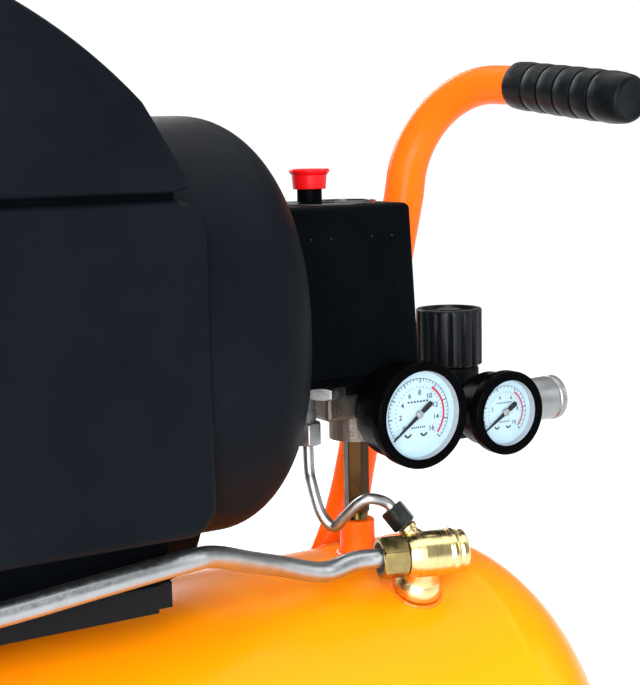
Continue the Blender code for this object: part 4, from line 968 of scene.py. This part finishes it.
# ---------------------------------------------------------------- feet and wheels
for node, side in (("rubber_foot_front", -1), ("rubber_foot_rear", 1)):
    pad = [(0, 0.022), (0.0125, 0.022), (0.0130, 0.0214), (0.0136, 0.0140), (0.0144, 0.0130),
           (0.0144, 0.0118), (0.0150, 0.0106), (0.0160, 0.0020), (0.0156, 0.0004), (0.0148, 0.0),
           (0.0060, 0.0), (0.0055, 0.003), (0, 0.003)]
    stands_for(turned(node + "_pad", fillet(pad, 0.0005, 3), tyre, (0.150, side * 0.078, 0), UP, 72), node)
WHEEL_RADIUS = 0.060
HUB = (-0.197, 0, WHEEL_RADIUS)
for node, side in (("wheel_front", -1), ("wheel_rear", 1)):
    axle = (0, side, 0)
    tread = [(0.042, 0.134), (0.0440, 0.1358), (0.054, 0.138), (0.0575, 0.1366), (WHEEL_RADIUS, 0.1330)]
    for k in range(4):
        base = 0.1320 - 0.0042 * k
        tread += [(WHEEL_RADIUS, base), (0.0588, base - 0.0005), (0.0588, base - 0.0013),
                  (WHEEL_RADIUS, base - 0.0018)]
    tread += [(WHEEL_RADIUS, 0.115), (0.0575, 0.1114), (0.054, 0.110), (0.0440, 0.1120), (0.042, 0.114)]
    stands_for(turned(node + "_tyre", fillet(tread, 0.0005, 2), tyre, HUB, axle, 120, ring=True), node)
    rim = [(0.0063, 0.1345), (0.0135, 0.1345), (0.0145, 0.1335), (0.0155, 0.1280), (0.0340, 0.1265),
           (0.0375, 0.1290), (0.0400, 0.1345), (0.0432, 0.1345), (0.0432, 0.1135), (0.0400, 0.1135),
           (0.0375, 0.1190), (0.0340, 0.1210), (0.0155, 0.1200), (0.0145, 0.1135), (0.0135, 0.1110),
           (0.0063, 0.1110)]
    adds_to(turned(node + "_rim", fillet(rim, 0.0008, 3), knob_plastic, HUB, axle, 96, ring=True), node)
    cap = fillet([(0, 0.1372), (0.0048, 0.1372), (0.0088, 0.1358), (0.0092, 0.1348), (0, 0.1348)], 0.0006, 3)
    adds_to(turned(node + "_axle_cap", cap, zinc, HUB, axle, 48), "wheel_bracket")

# ---------------------------------------------------------------- plain fittings and the inside
for look, bevel, names in (
        (black_steel, 0.0005, ("foot_bracket", "wheel_bracket", "motor_foot")),
        (tank_paint, 0.0004, ("saddle_left", "saddle_right")),
        (hex_brass, 0.0003, ("safety_valve", "drain_valve")),
        (hex_brass, 0.0004, ("drain_knob",)),
        (zinc, 0.0, ("safety_ring", "crankshaft")),
        (cast_metal, 0.0004, ("crankcase", "crankcase_cover", "cylinder_head", "motor_end_bell")),
        (tube_metal, 0.0, ("piston", "connecting_rod", "rotor_core")),
        (iron, 0.0, ("cylinder", "motor_stator")),
        (knob_plastic, 0.0004, ("air_filter",)),
        (knob_plastic, 0.0, ("cooling_fan",)),
        (lens_clear, 0.0, ("oil_sight_glass",))):
    for name in names:
        keep(name, look, bevel)

# ---------------------------------------------------------------- floor, light and camera
floor_mesh = bpy.data.meshes.new("floor")
floor_mesh.from_pydata([(-12, -12, 0), (12, -12, 0), (12, 12, 0), (-12, 12, 0)], [], [(0, 1, 2, 3)])
floor_look = bpy.data.materials.new("floor_white")
floor_look.use_nodes = True
fill(floor_look.node_tree.nodes["Principled BSDF"], Base_Color=(0.42, 0.42, 0.42, 1), Roughness=0.8,
     Specular_IOR_Level=0.1, Emission_Color=(1, 1, 1, 1), Emission_Strength=0.90)
put("floor", floor_mesh, floor_look, (0, 0, -0.0002))

world = bpy.data.worlds.new("studio")
scene.world = world
world.use_nodes = True
rays = world.node_tree.nodes.new("ShaderNodeLightPath")
glow = world.node_tree.nodes.new("ShaderNodeMapRange")
fill(glow, To_Min=0.34, To_Max=1.05)
world.node_tree.links.new(rays.outputs["Is Camera Ray"], glow.inputs["Value"])
world.node_tree.links.new(glow.outputs["Result"], world.node_tree.nodes["Background"].inputs["Strength"])
fill(world.node_tree.nodes["Background"], Color=(1, 1, 1, 1))


def softbox(name, place, target, size, power):
    """Rectangular area light aimed at a target."""
    lamp = bpy.data.lights.new(name, "AREA")
    lamp.shape = "RECTANGLE"
    lamp.size, lamp.size_y = size
    lamp.energy = power
    made = bpy.data.objects.new(name, lamp)
    made.location = place
    aim(made, Vector(target) - Vector(place), "-Z")
    scene.collection.objects.link(made)


softbox("top_light", (0.2, 0.0, 2.0), (0, 0, 0.3), (2.4, 2.4), 40)
softbox("front_light", (-0.9, -2.0, 1.5), (0, 0, 0.35), (1.2, 1.2), 45)
softbox("right_light", (1.8, -1.1, 1.0), (0.1, 0, 0.35), (1.0, 1.4), 10)
softbox("low_light", (-1.4, -1.7, 0.55), (-0.05, 0, 0.25), (1.6, 1.0), 48)
softbox("flank_light", (-0.6, -1.5, 0.28), (-0.08, -0.08, 0.30), (0.8, 0.25), 7)
softbox("back_light", (0.2, 2.0, 1.3), (0, 0, 0.35), (1.6, 1.0), 30)

view = bpy.data.cameras.new("view")
view.lens = 76.2
view.sensor_width = 36.0
view.clip_start = 0.02
camera = bpy.data.objects.new("view", view)
scene.collection.objects.link(camera)
turn, pitch, roll = radians(31.0), radians(7.95), radians(1.2)
forward = Vector((sin(turn) * cos(pitch), cos(turn) * cos(pitch), -sin(pitch)))
right = Vector((cos(turn), -sin(turn), 0))
above = right.cross(forward)
camera_x = cos(roll) * right - sin(roll) * above
camera_y = sin(roll) * right + cos(roll) * above
camera.matrix_world = Matrix.Translation((-0.2299, -0.6157, 0.5071)) @ Matrix(
    (camera_x, camera_y, -forward)).transposed().to_4x4()
scene.camera = camera
scene.view_settings.view_transform = "Standard"
